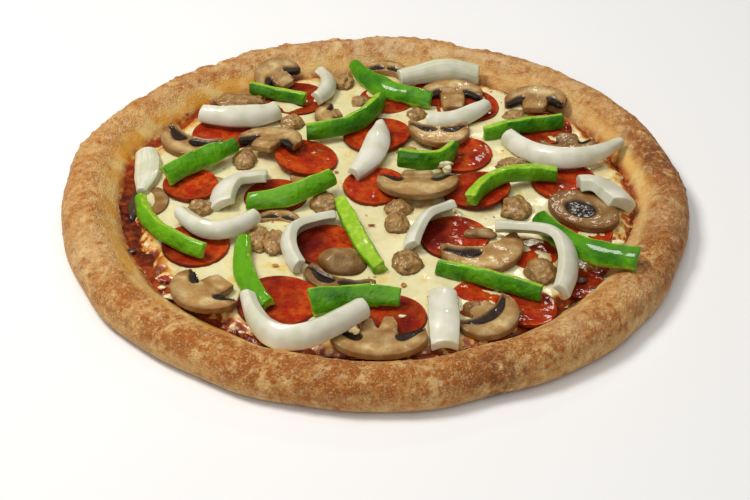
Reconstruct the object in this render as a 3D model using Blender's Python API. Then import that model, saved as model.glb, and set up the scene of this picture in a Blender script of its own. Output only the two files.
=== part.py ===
"""A whole baked pizza, uncut, resting flat on its underside.

A dough crust with a raised rim carries a thin layer of sauce and a layer of melted cheese. Sausage crumbles
and the lowest slices are set in the cheese. Pepperoni, mushroom slices, pepper strips and onion strips lie
on top, each one lowered until it rests on what is below it. Sizes are in millimetres, and each mesh is
turned to metres as it is made.
"""

import math
import random

import bmesh
import bpy
import numpy as np
from mathutils import Vector, noise
from mathutils.bvhtree import BVHTree

METRES = 0.001

# The crust: its outline has a base radius and a few soft swellings.
RIM_RADIUS = 173.2
RIM_STEPS = 72
RIM_LOBES = (
    # centre in degrees, spread in degrees, swelling in mm
    (164, 26, 5.0),
    (104, 32, -7.0),
    (57, 18, -4.2),
    (69, 5, -3.0),
    (228, 25, 0.8),
    (150, 14, -2.3),
    (279, 10, 1.2),
    (317, 18, 2.2),
    (350, 13, 2.2),
)
RIM_RIPPLES = ((7, 0.7, 1.0), (13, 0.5, 2.0), (22, 0.35, 0.5))
RIM_WIDTH = 33.0
RIM_WIDTH_SWING = 2.0
RIM_WIDEST_AT = 160.0
RIM_SWELL = 5.0
RIM_SWELL_AT = 318.0
RIM_SWELL_SPREAD = 24.0
FLOOR_TOP = 7.0
# Share of the rim's width from the outside inwards, and height.
RIM_UNDERSIDE = ((0.26, 0.0), (0.09, 0.7), (0.02, 3.6))
RIM_TOP = (
    (0.0, 8.5),
    (0.03, 12.8),
    (0.10, 16.8),
    (0.20, 19.4),
    (0.33, 20.8),
    (0.48, 20.6),
    (0.62, 18.6),
    (0.75, 15.2),
    (0.86, 11.7),
    (0.94, 8.8),
    (0.985, 7.3),
    (1.0, 7.0),
)
RIM_BUMP = 0.9
RIM_BUMP_SIZE = 22.0

# The layers: each keeps a thin gap to the one below.
GAP = 0.3
SAUCE_BOTTOM = FLOOR_TOP + GAP
SAUCE_TOP = 8.3
SAUCE_INSET = 0.8
CHEESE_BOTTOM = SAUCE_TOP + GAP
CHEESE_PRESSED = 10.0
CHEESE_FREE = 11.6
CHEESE_EDGE = 9.3
CHEESE_INSET = 3.0
CHEESE_STEP = 6.6
SET_IN = 9.0

# The height map that the pieces are laid on.
MAP_HALF = 182
DROP_STEP = 0.1
STRIP_STATIONS = 8
PROBES = 5
SLICE_THICKNESS = 4.0
FUSED_THICKNESS = 2.6
PEPPERONI_THICKNESS = 2.2
PEPPERONI_SIDES = 16
STEEPEST = 0.3

# Base colour and roughness of each kind.
COLOURS = {
    "crust": ((0.60, 0.36, 0.15), 0.75),
    "sauce": ((0.45, 0.07, 0.01), 0.35),
    "cheese": ((0.80, 0.72, 0.40), 0.35),
    "onion": ((0.78, 0.74, 0.62), 0.25),
    "pepper": ((0.07, 0.28, 0.01), 0.2),
    "mushroom": ((0.50, 0.33, 0.18), 0.45),
    "pepperoni": ((0.45, 0.05, 0.01), 0.35),
}

# Sausage crumbles set in the cheese: x, y, size across, size front to back, height of the top.
CRUMBLES = (
    (-80, 96, 32, 17, 16),
    (-19, 118, 13, 17, 17),
    (-49, 71, 15, 15, 17),
    (-9, 96, 12, 12, 15),
    (25, 81, 12, 15, 15),
    (-75, 32, 13, 20, 17),
    (-97, -17, 15, 12, 17),
    (-63, -46, 13, 22, 17),
    (-54, -49, 12, 22, 18),
    (-28, -11, 16, 17, 17),
    (13, -17, 16, 13, 17),
    (12, -31, 13, 16, 18),
    (17, -67, 17, 19, 18),
    (79, 26, 19, 12, 17),
    (78, -17, 17, 21, 18),
    (88, -74, 18, 19, 18),
    (17, 43, 18, 11, 13),
    (84, 82, 17, 15, 13),
    (-49, 38, 16, 12, 13),
)

# The lowest pepperoni, set in the cheese: x, y, diameter.
LOW_PEPPERONI = (
    (-48, 100, 37),
    (-56, -4, 35),
    (56, 91, 38),
    (56, -96, 35),
    (114, -38, 31),
    (78, -103, 32),
    (84, -57, 28),
    (7, 99, 33),
    (36, 106, 28),
    (108, -83, 26),
    (100, 66, 34),
)

# The lowest mushroom slices: x, y, direction of the cap in degrees, breadth, cap height, stem.
LOW_MUSHROOMS = (
    (-94, 8, 100, 22, 10, 6),
    (-121, -9, 0, 28, 9, 0),
    (-38, 13, 200, 32, 14, 6),
    (113, 48, -90, 34, 15, 8),
    (-52, -24, 80, 24, 10, 0),
)

# Pepperoni on top of the cheese: x, y, diameter.
PEPPERONI = (
    (-90, 60, 36),
    (-40, 32, 37),
    (1, 57, 39),
    (-104, 5, 31),
    (0, 6, 36),
    (50, 38, 36),
    (57, 0, 38),
    (108, 10, 37),
    (43, -43, 38),
    (-26, -50, 36),
    (-97, -50, 37),
    (-50, -99, 43),
    (8, -111, 36),
)

# Mushroom slices: x, y, direction of the cap in degrees, breadth, cap height, and stem length, or for a
# cap that lies whole, minus half its depth.
MUSHROOMS = (
    (-61, 119, 135, 32, 15, 8),
    (7, 131, 80, 28, 12, 0),
    (47, 100, 90, 38, 16, 16),
    (97, 92, 80, 38, 15, 8),
    (-28, 79, 200, 24, 12, 4),
    (-60, 46, 65, 40, 18, 10),
    (-110, 47, 235, 41, 18, 0),
    (38, 53, -85, 37, 20, 0),
    (24, 0, -90, 47, 22, 8),
    (115, -22, 55, 42, 22, -15),
    (59, -63, -75, 46, 22, 0),
    (-89, -96, 225, 40, 20, 12),
    (-20, -84, -113, 40, 14, 0),
    (2, -132, -90, 50, 17, 14),
    (60, -116, -50, 35, 18, 6),
)


class Strip:
    """A bent strip of onion or pepper, from one end through its middle to the other end."""

    def __init__(self, kind, start, middle, end, width, thickness, lean, tips=(0.8, 0.8), limp=0.12):
        self.kind = kind
        self.start = start
        self.middle = middle
        self.end = end
        self.width = width
        self.thickness = thickness
        self.lean = lean
        self.tips = tips
        self.limp = limp


# Strips in the order in which they are laid. A lean of 0 lies flat with its outer face up, and one of 90
# stands on edge with that face to the right of the way it runs.
STRIPS = (
    Strip("onion", (-22, -28), (-45, -45), (-40, -75), 8, 5.5, (60, 60)),
    Strip("onion", (43, -18), (27, -33), (19, -57), 9, 5, (50, 50)),
    Strip("pepper", (-76, 101), (-58, 98), (-42, 92), 7.5, 4, (75, 75), (1, 1)),
    Strip("pepper", (-13, 135), (0, 110), (34, 91), 12, 4.5, (35, 35), (0.6, 0.9)),
    Strip("pepper", (-40, 52), (-12, 62), (4, 93), 11, 4.5, (65, 65), (0.9, 0.7)),
    Strip("pepper", (64, 56), (88, 62), (111, 67), 9, 4, (75, 75), (1, 1)),
    Strip("pepper", (13, 18), (36, 21), (46, 40), 11, 4.5, (70, 70), (1, 0.6)),
    Strip("pepper", (-117, 4), (-101, 20), (-80, 37), 12, 4.5, (45, 45), (1, 0.7)),
    Strip("pepper", (-71, -15), (-50, -14), (-24, 2), 12, 4.5, (50, 50), (0.8, 0.8)),
    Strip("pepper", (53, -18), (69, 2), (103, 10), 9, 6, (80, 80), (0.8, 0.9)),
    Strip("pepper", (-131, -9), (-119, -40), (-91, -63), 9, 5, (60, 60), (0.8, 1)),
    Strip("pepper", (-18, -15), (-10, -45), (3, -74), 9, 5, (115, 115), (0.9, 0.9)),
    Strip("pepper", (-70, -50), (-69, -77), (-55, -106), 11, 4.5, (15, 15), (0.7, 0.8)),
    Strip("pepper", (-33, -107), (-10, -102), (13, -103), 12, 4.5, (50, 50), (0.9, 0.8)),
    Strip("pepper", (33, -73), (60, -86), (86, -97), 9, 4.5, (65, 65), (1, 0.9)),
    Strip("pepper", (90, -28), (107, -61), (137, -81), 13, 4.5, (40, 40), (0.8, 1)),
    Strip("onion", (-103, 72), (-80, 67), (-58, 77), 13, 5, (50, 50), (0.8, 0.9), 0.2),
    Strip("onion", (-34, 128), (-28, 112), (-35, 89), 10, 5, (-45, -45), (0.7, 0.8), 0.2),
    Strip("onion", (3, 62), (1, 38), (-12, 12), 15, 5, (-20, -20), (0.4, 0.55), 0.2),
    Strip("onion", (15, 113), (38, 119), (64, 119), 13, 5, (60, 60), (0.8, 0.9), 0.2),
    Strip("onion", (31, 70), (50, 71), (67, 86), 11, 5, (45, 45), (0.9, 0.7), 0.2),
    Strip("onion", (77, 52), (107, 23), (142, 41), 14, 5, (50, 50), (0.7, 0.5), 0.2),
    Strip("onion", (-133, 40), (-130, 20), (-131, -2), 15, 4.5, (10, 10), (0.8, 0.4), 0.2),
    Strip("onion", (-61, 11), (-79, 5), (-85, -18), 11, 5.5, (30, 30), (0.9, 0.8), 0.2),
    Strip("onion", (-107, -27), (-86, -46), (-65, -31), 12, 6, (55, 55), (0.7, 0.8), 0.2),
    Strip("onion", (-66, -101), (-46, -137), (-5, -119), 12, 6, (55, 55), (0.5, 0.8), 0.2),
    Strip("onion", (65, -43), (96, -57), (96, -101), 10, 5, (-45, -45), (0.9, 0.8), 0.2),
    Strip("onion", (35, -94), (35, -115), (35, -137), 16, 5, (0, 0), (0.9, 0.9), 0.2),
    Strip("onion", (114, 0), (130, -4), (137, -19), 15, 5, (-30, -30), (0.8, 0.8), 0.2),
)


def outer_radius(angle):
    """The crust's outer radius at an angle in radians."""
    turn = math.degrees(angle)
    radius = RIM_RADIUS
    for centre, spread, swelling in RIM_LOBES:
        away = (turn - centre + 180.0) % 360.0 - 180.0
        radius += swelling * math.exp(-((away / spread) ** 2))
    for waves, size, phase in RIM_RIPPLES:
        radius += size * math.sin(waves * angle + phase)
    return radius


def rim_width(angle):
    """How wide the rim is, from its outside to the floor, at an angle in radians."""
    width = RIM_WIDTH + RIM_WIDTH_SWING * math.cos(angle - math.radians(RIM_WIDEST_AT))
    away = (math.degrees(angle) - RIM_SWELL_AT + 180.0) % 360.0 - 180.0
    return width + RIM_SWELL * math.exp(-((away / RIM_SWELL_SPREAD) ** 2))


def outline_centre():
    """The middle of the crust's bounding box, so that it can be set on the origin."""
    angles = [2.0 * math.pi * k / RIM_STEPS for k in range(RIM_STEPS)]
    xs = [outer_radius(a) * math.cos(a) for a in angles]
    ys = [outer_radius(a) * math.sin(a) for a in angles]
    return (min(xs) + max(xs)) / 2.0, (min(ys) + max(ys)) / 2.0


CENTRE = outline_centre()


def placed(x, y):
    """A point given about the rim's own middle, in the part's frame."""
    return x - CENTRE[0], y - CENTRE[1]


def polar(x, y):
    """The angle and radius of a point about the crust's own middle."""
    return math.atan2(y + CENTRE[1], x + CENTRE[0]), math.hypot(x + CENTRE[0], y + CENTRE[1])


def layer_radius(angle, inset, ragged, phase):
    """The radius of a layer inside the rim, with a ragged edge that never passes its inset."""
    wave = 0.5 + 0.25 * math.sin(9 * angle + phase) + 0.25 * math.sin(17 * angle + 2 * phase)
    return outer_radius(angle) - rim_width(angle) - inset - ragged * wave


class HeightMap:
    """The height of the highest surface in each square millimetre, and of the lowest underside."""

    def __init__(self):
        side = 2 * MAP_HALF + 1
        self.top = np.zeros((side, side))
        self.under = np.full((side, side), 99.0)
        shares, heights = zip(*RIM_TOP)
        for i in range(side):
            for j in range(side):
                angle, radius = polar(i - MAP_HALF, j - MAP_HALF)
                share = (outer_radius(angle) - radius) / rim_width(angle)
                height = float(np.interp(share, shares, heights)) if share > 0 else 0.0
                inside = radius < layer_radius(angle, CHEESE_INSET, 0.0, 0.0)
                self.top[i, j] = CHEESE_PRESSED if inside else max(height, 0.0)

    def at(self, x, y):
        """The surface height under a point."""
        return self.top[self.cell(x), self.cell(y)]

    @staticmethod
    def cell(value):
        """The row or column of the map that holds a coordinate."""
        return int(min(max(round(value + MAP_HALF), 0), 2 * MAP_HALF))

    @staticmethod
    def spread(points, faces):
        """Yields the cells and heights that each triangle of a mesh covers."""
        for face in faces:
            for k in range(1, len(face) - 1):
                a, b, c = points[face[0]], points[face[k]], points[face[k + 1]]
                area = (b[0] - a[0]) * (c[1] - a[1]) - (c[0] - a[0]) * (b[1] - a[1])
                if abs(area) < 1e-6:
                    continue
                xs = np.arange(math.ceil(min(a[0], b[0], c[0])), math.floor(max(a[0], b[0], c[0])) + 1)
                ys = np.arange(math.ceil(min(a[1], b[1], c[1])), math.floor(max(a[1], b[1], c[1])) + 1)
                if not len(xs) or not len(ys):
                    continue
                gx, gy = np.meshgrid(xs, ys, indexing="ij")
                p = ((b[0] - gx) * (c[1] - gy) - (c[0] - gx) * (b[1] - gy)) / area
                q = ((c[0] - gx) * (a[1] - gy) - (a[0] - gx) * (c[1] - gy)) / area
                r = 1.0 - p - q
                inside = (p >= 0) & (q >= 0) & (r >= 0)
                z = p * a[2] + q * b[2] + r * c[2]
                yield gx[inside] + MAP_HALF, gy[inside] + MAP_HALF, z[inside]

    def add(self, points, faces, underside):
        """Raises the map where a mesh covers it, and keeps its underside if asked."""
        for i, j, z in self.spread(points, faces):
            np.maximum.at(self.top, (i, j), z)
            if underside:
                np.minimum.at(self.under, (i, j), z)

    def footprint(self, points, faces):
        """The cells that a mesh covers, as coordinates and surface heights."""
        cells = set()
        for i, j, _ in self.spread(points, faces):
            cells.update(zip(i.tolist(), j.tolist()))
        cells = np.array(sorted(cells))
        return cells - MAP_HALF, self.top[cells[:, 0], cells[:, 1]]


class Pile:
    """The pieces laid so far, which the next one rests on."""

    def __init__(self):
        self.map = HeightMap()
        self.points = []
        self.faces = []

    def add(self, points, faces, underside=True):
        """Puts a piece that doesn't move any more on the pile."""
        first = len(self.points)
        self.points.extend(points)
        self.faces.extend([[first + k for k in face] for face in faces])
        self.map.add(points, faces, underside)

    def near(self, points):
        """The part of the pile close enough to touch a mesh."""
        low = [min(p[k] for p in points) - 1.0 for k in (0, 1)]
        high = [max(p[k] for p in points) + 1.0 for k in (0, 1)]
        kept = []
        for face in self.faces:
            xs = [self.points[k][0] for k in face]
            ys = [self.points[k][1] for k in face]
            if max(xs) > low[0] and min(xs) < high[0] and max(ys) > low[1] and min(ys) < high[1]:
                kept.append(face)
        return BVHTree.FromPolygons([Vector(p) for p in self.points], kept)

    def rest(self, points, faces):
        """Lowers or lifts a mesh until it is one gap above the first thing that it would touch."""
        tree = self.near(points)

        def touches(lift):
            moved = [Vector((p[0], p[1], p[2] + lift - GAP)) for p in points]
            return bool(BVHTree.FromPolygons(moved, faces).overlap(tree))

        lift = 0.0
        if touches(lift):
            while touches(lift):
                lift += DROP_STEP
        else:
            while lift > -12.0 and not touches(lift - DROP_STEP):
                lift -= DROP_STEP
        return [(p[0], p[1], p[2] + lift) for p in points]


def mesh_parts(mesh_data):
    """The points in millimetres and the faces of a Blender mesh."""
    points = [tuple(v.co) for v in mesh_data.vertices]
    faces = [list(p.vertices) for p in mesh_data.polygons]
    return points, faces


def bmesh_parts(made):
    """The points and faces of a bmesh, which is freed."""
    made.verts.ensure_lookup_table()
    made.verts.index_update()
    points = [tuple(v.co) for v in made.verts]
    faces = [[v.index for v in f.verts] for f in made.faces]
    made.free()
    return points, faces


def outline_solid(outline, thickness):
    """A flat outline raised to a thickness, as points and faces with the underside at zero."""
    curve = bpy.data.curves.new("outline", "CURVE")
    curve.dimensions = "2D"
    curve.fill_mode = "BOTH"
    curve.extrude = thickness / 2.0
    spline = curve.splines.new("POLY")
    spline.points.add(len(outline) - 1)
    for point, (x, y) in zip(spline.points, outline):
        point.co = (x, y, 0.0, 1.0)
    spline.use_cyclic_u = True
    holder = bpy.data.objects.new("outline", curve)
    bpy.context.scene.collection.objects.link(holder)
    graph = bpy.context.evaluated_depsgraph_get()
    made_mesh = bpy.data.meshes.new_from_object(holder.evaluated_get(graph))
    bpy.data.objects.remove(holder)
    bpy.data.curves.remove(curve)
    made = bmesh.new()
    made.from_mesh(made_mesh)
    bpy.data.meshes.remove(made_mesh)
    bmesh.ops.remove_doubles(made, verts=made.verts, dist=0.01)
    bmesh.ops.recalc_face_normals(made, faces=made.faces)
    bmesh.ops.translate(made, verts=made.verts, vec=(0.0, 0.0, thickness / 2.0))
    return bmesh_parts(made)


def slice_outline(x, y, turn, breadth, cap, stem):
    """The outline of a mushroom slice: a domed cap, gills that cut in below it, and a stem."""
    half = breadth / 2.0
    stalk = breadth * 0.19
    points = [(half - 0.14 * breadth, -0.1 * breadth), (half - 0.03 * breadth, -0.1 * breadth)]
    for k in range(9):
        angle = math.radians(8.0 + 164.0 * k / 8.0)
        points.append((half * math.cos(angle), cap * math.sin(angle)))
    points += [(-half + 0.03 * breadth, -0.1 * breadth), (-half + 0.14 * breadth, -0.1 * breadth)]
    if stem:
        points += [(-stalk - 0.05 * breadth, 0.06 * breadth), (-stalk, 0.0), (-stalk, -0.6 * stem)]
        points += [(-0.8 * stalk, -stem), (0.8 * stalk, -stem)]
        points += [(stalk, -0.6 * stem), (stalk, 0.0), (stalk + 0.05 * breadth, 0.06 * breadth)]
    else:
        points += [(-0.22 * breadth, 0.03 * breadth), (0.0, 0.07 * breadth), (0.22 * breadth, 0.03 * breadth)]
    middle = (cap - max(stem, 0.1 * breadth)) / 2.0
    if stem < 0:
        steps = [2.0 * math.pi * k / 20 for k in range(20)]
        points = [(half * math.cos(a), middle - stem * math.sin(a)) for a in steps]
    spin = math.radians(turn - 90.0)
    outline = []
    for px, py in points:
        py -= middle
        across = px * math.cos(spin) - py * math.sin(spin)
        along = px * math.sin(spin) + py * math.cos(spin)
        outline.append(placed(x + across, y + along))
    return outline


def disc_outline(x, y, diameter):
    """The outline of a pepperoni slice, slightly out of round."""
    outline = []
    for k in range(PEPPERONI_SIDES):
        angle = 2.0 * math.pi * k / PEPPERONI_SIDES
        radius = diameter / 2.0 * (1.0 + 0.02 * math.sin(2 * angle + x) + 0.015 * math.sin(3 * angle + y))
        outline.append(placed(x + radius * math.cos(angle), y + radius * math.sin(angle)))
    return outline


def kept_on_cheese(outline):
    """Draws an outline's points in where they would pass the cheese's edge."""
    kept = []
    for x, y in outline:
        angle, radius = polar(x, y)
        most = layer_radius(angle, CHEESE_INSET + 1.0, 0.0, 0.0)
        share = min(1.0, most / radius)
        kept.append(((x + CENTRE[0]) * share - CENTRE[0], (y + CENTRE[1]) * share - CENTRE[1]))
    return kept


def laid_slab(pile, outline, thickness):
    """A flat slice tilted to lie as low as it can on the pile."""
    points, faces = outline_solid(outline, thickness)
    cells, heights = pile.map.footprint(points, faces)
    cx, cy = cells.mean(axis=0)
    dx, dy = cells[:, 0] - cx, cells[:, 1] - cy
    best = None
    for a in np.linspace(-STEEPEST, STEEPEST, 25):
        for b in np.linspace(-STEEPEST, STEEPEST, 25):
            lowest = float((heights - a * dx - b * dy).max()) + 0.3 * math.hypot(a, b)
            if best is None or lowest < best[0]:
                best = (lowest, a, b)
    level, a, b = best
    tilted = [(p[0], p[1], p[2] + level + GAP + a * (p[0] - cx) + b * (p[1] - cy)) for p in points]
    return pile.rest(tilted, faces), faces


def strip_path(strip, t):
    """The plan position and the direction of a strip at a share of its length."""
    ax, ay = placed(*strip.start)
    mx, my = placed(*strip.middle)
    bx, by = placed(*strip.end)
    first = math.hypot(mx - ax, my - ay)
    share = first / (first + math.hypot(bx - mx, by - my))
    wa = (t - share) * (t - 1.0) / share
    wm = t * (t - 1.0) / (share * (share - 1.0))
    wb = t * (t - share) / (1.0 - share)
    da = (2.0 * t - share - 1.0) / share
    dm = (2.0 * t - 1.0) / (share * (share - 1.0))
    db = (2.0 * t - share) / (1.0 - share)
    position = (wa * ax + wm * mx + wb * bx, wa * ay + wm * my + wb * by)
    slope = Vector((da * ax + dm * mx + db * bx, da * ay + dm * my + db * by)).normalized()
    return position, slope


def strip_section(strip, t):
    """The corners of a strip's section as offsets to its left and up, leaned over."""
    ends = strip.tips[0] + (1.0 - strip.tips[0]) * min(1.0, t / 0.3)
    ends = min(ends, strip.tips[1] + (1.0 - strip.tips[1]) * min(1.0, (1.0 - t) / 0.3))
    half, deep = strip.width * ends / 2.0, strip.thickness / 2.0
    sag = 0.14 * strip.width
    lean = math.radians(strip.lean[0] + (strip.lean[1] - strip.lean[0]) * t)
    corners = []
    for u, v in ((1, -0.4), (1, 0.4), (0.6, 1), (-0.6, 1), (-1, 0.4), (-1, -0.4), (-0.6, -1), (0.6, -1)):
        across, up = u * half, v * deep + sag * (0.5 - u * u)
        corners.append((across * math.cos(lean) - up * math.sin(lean), across * math.sin(lean) + up * math.cos(lean)))
    return corners


def laid_strip(pile, strip):
    """A strip that drapes over the pile, as points and faces."""
    last = STRIP_STATIONS - 1
    shares = [k / last for k in range(STRIP_STATIONS)]
    rests = [-99.0] * STRIP_STATIONS
    for step in range(PROBES * last + 1):
        t = step / (PROBES * last)
        (x, y), slope = strip_path(strip, t)
        corners = strip_section(strip, t)
        station = round(t * last)
        for k, (left, up) in enumerate(corners):
            other = corners[k - 1]
            for part in (0.0, 0.5):
                a = left + part * (other[0] - left)
                b = up + part * (other[1] - up)
                needed = pile.map.at(x - slope.y * a, y + slope.x * a) + GAP - b
                rests[station] = max(rests[station], needed)
    heights = [max(rests)] * STRIP_STATIONS
    for _ in range(200):
        for k in range(1, STRIP_STATIONS - 1):
            heights[k] = max(rests[k], (heights[k - 1] + heights[k + 1]) / 2.0 - strip.limp)
        heights[0] = max(rests[0], heights[1] + 0.7 * (heights[1] - heights[2]) - strip.limp)
        heights[-1] = max(rests[-1], heights[-2] + 0.7 * (heights[-2] - heights[-3]) - strip.limp)
    points = []
    for t, height in zip(shares, heights):
        (x, y), slope = strip_path(strip, t)
        for left, up in strip_section(strip, t):
            points.append((x - slope.y * left, y + slope.x * left, height + up))
    faces = [list(range(7, -1, -1)), list(range(8 * STRIP_STATIONS - 8, 8 * STRIP_STATIONS))]
    for k in range(STRIP_STATIONS - 1):
        for c in range(8):
            d = (c + 1) % 8
            faces.append([8 * k + c, 8 * k + d, 8 * k + 8 + d, 8 * k + 8 + c])
    return pile.rest(points, faces), faces


def crust_parts():
    """The crust: a section spun round, then warped to the outline and given soft bumps."""
    made = bmesh.new()
    section = [(2.0 - share, z) for share, z in RIM_UNDERSIDE + RIM_TOP]
    corners = [made.verts.new((r, 0.0, z)) for r, z in [(0.0, 0.0)] + section + [(0.0, FLOOR_TOP)]]
    edges = [made.edges.new(pair) for pair in zip(corners, corners[1:])]
    bmesh.ops.spin(
        made,
        geom=corners + edges,
        cent=(0.0, 0.0, 0.0),
        axis=(0.0, 0.0, 1.0),
        angle=2.0 * math.pi,
        steps=RIM_STEPS,
        use_merge=True,
    )
    bmesh.ops.remove_doubles(made, verts=made.verts, dist=1e-4)
    for vertex in made.verts:
        share = 2.0 - math.hypot(vertex.co.x, vertex.co.y)
        if share > 1.999:
            vertex.co = (-CENTRE[0], -CENTRE[1], vertex.co.z)
            continue
        angle = math.atan2(vertex.co.y, vertex.co.x)
        radius = outer_radius(angle) - share * rim_width(angle)
        x, y, z = radius * math.cos(angle) - CENTRE[0], radius * math.sin(angle) - CENTRE[1], vertex.co.z
        if share < 0.9 and z > 9.0:
            z += RIM_BUMP * noise.noise(Vector((x, y, 0.0)) / RIM_BUMP_SIZE) * min(1.0, (0.9 - share) * 6.0)
        vertex.co = (x, y, z)
    bmesh.ops.recalc_face_normals(made, faces=made.faces)
    return bmesh_parts(made)


def sauce_parts():
    """The sauce: a thin disc with a ragged edge."""
    made = bmesh.new()
    thickness = SAUCE_TOP - SAUCE_BOTTOM
    bmesh.ops.create_cone(made, cap_ends=True, segments=RIM_STEPS, radius1=1.0, radius2=1.0, depth=thickness)
    for vertex in made.verts:
        angle = math.atan2(vertex.co.y, vertex.co.x)
        radius = layer_radius(angle, SAUCE_INSET, 1.2, 0.7)
        height = SAUCE_TOP if vertex.co.z > 0 else SAUCE_BOTTOM
        vertex.co = (radius * math.cos(angle) - CENTRE[0], radius * math.sin(angle) - CENTRE[1], height)
    return bmesh_parts(made)


def cheese_parts(pile):
    """The cheese: a grid cut to its edge, pressed down under each piece that lies on it."""
    made = bmesh.new()
    count = int(2 * 140 / CHEESE_STEP)
    bmesh.ops.create_grid(made, x_segments=count, y_segments=count, size=count * CHEESE_STEP / 2.0)
    outside = []
    for vertex in made.verts:
        angle, radius = polar(vertex.co.x, vertex.co.y)
        if radius > layer_radius(angle, CHEESE_INSET, 4.0, 2.1) - 0.4 * CHEESE_STEP:
            outside.append(vertex)
    bmesh.ops.delete(made, geom=outside, context="VERTS")
    lone = [v for v in made.verts if len(v.link_faces) < 2]
    bmesh.ops.delete(made, geom=lone, context="VERTS")
    reach = int(CHEESE_STEP) + 2
    for vertex in made.verts:
        x, y = vertex.co.x, vertex.co.y
        angle, radius = polar(x, y)
        edge = any(e.is_boundary for e in vertex.link_edges)
        if edge:
            share = layer_radius(angle, CHEESE_INSET, 4.0, 2.1) / radius
            x, y = (x + CENTRE[0]) * share - CENTRE[0], (y + CENTRE[1]) * share - CENTRE[1]
        i, j = HeightMap.cell(x), HeightMap.cell(y)
        under = float(pile.map.under[i - reach : i + reach + 1, j - reach : j + reach + 1].min())
        free = CHEESE_FREE + 0.7 * noise.noise(Vector((x, y, 3.0)) / 15.0)
        vertex.co = (x, y, max(CHEESE_EDGE, min(CHEESE_EDGE if edge else free, under - GAP)))
    top = list(made.faces)
    pulled = bmesh.ops.extrude_face_region(made, geom=top)
    lower = [e for e in pulled["geom"] if isinstance(e, bmesh.types.BMVert)]
    for vertex in lower:
        vertex.co.z = CHEESE_BOTTOM
    flat = [e for e in pulled["geom"] if isinstance(e, bmesh.types.BMEdge)]
    inner = [e for e in flat if all(f.normal.z * f.normal.z > 0.99 for f in e.link_faces)]
    bmesh.ops.dissolve_limit(made, angle_limit=math.radians(1.0), verts=lower, edges=inner)
    bmesh.ops.recalc_face_normals(made, faces=made.faces)
    return bmesh_parts(made)


def crumble_parts(x, y, across, deep, top, seed):
    """A sausage crumble: a ball pushed about by noise, flat below."""
    x, y = placed(x, y)
    made = bmesh.new()
    bmesh.ops.create_icosphere(made, subdivisions=2, radius=1.0)
    for vertex in made.verts:
        push = 1.0 + 0.22 * noise.noise(vertex.co * 1.4 + Vector((seed * 3.1, 0.0, 0.0)))
        spot = vertex.co * push
        height = SET_IN + max(0.0, (spot.z * 0.62 + 0.38) * (top - SET_IN))
        inside = kept_on_cheese([(x + spot.x * across / 2.0, y + spot.y * deep / 2.0)])[0]
        vertex.co = (*inside, height)
    return bmesh_parts(made)


def material_of(name, kind, shade):
    """A material with the kind's own colour, a little lighter or darker for each piece."""
    colour, roughness = COLOURS[kind]
    material = bpy.data.materials.new(name)
    material.use_nodes = True
    shader = material.node_tree.nodes["Principled BSDF"]
    shader.inputs["Base Color"].default_value = (*[min(1.0, c * shade) for c in colour], 1.0)
    shader.inputs["Roughness"].default_value = roughness
    shader.inputs["Metallic"].default_value = 0.0
    material.diffuse_color = (*[min(1.0, c * shade) for c in colour], 1.0)
    return material


def object_of(name, kind, points, faces, collection, shade=1.0):
    """An object in metres made from points and faces in millimetres."""
    mesh_data = bpy.data.meshes.new(name)
    mesh_data.from_pydata([[c * METRES for c in p] for p in points], [], faces)
    mesh_data.materials.append(material_of(name, kind, shade))
    mesh_data.shade_smooth()
    mesh_data.set_sharp_from_angle(angle=math.radians(35.0))
    made = bpy.data.objects.new(name, mesh_data)
    collection.objects.link(made)
    return made


def join_all(target, joined):
    """Joins a collection's solids to a target with one union, and removes them."""
    union = target.modifiers.new("union", "BOOLEAN")
    union.operation = "UNION"
    union.operand_type = "COLLECTION"
    union.collection = joined
    union.solver = "EXACT"
    graph = bpy.context.evaluated_depsgraph_get()
    mesh_data = bpy.data.meshes.new_from_object(target.evaluated_get(graph))
    target.modifiers.remove(union)
    old = target.data
    mesh_data.name = target.name
    mesh_data.materials.clear()
    mesh_data.materials.append(old.materials[0])
    target.data = mesh_data
    bpy.data.meshes.remove(old)
    for solid in list(joined.objects):
        bpy.data.objects.remove(solid)
    bpy.data.collections.remove(joined)


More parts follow.
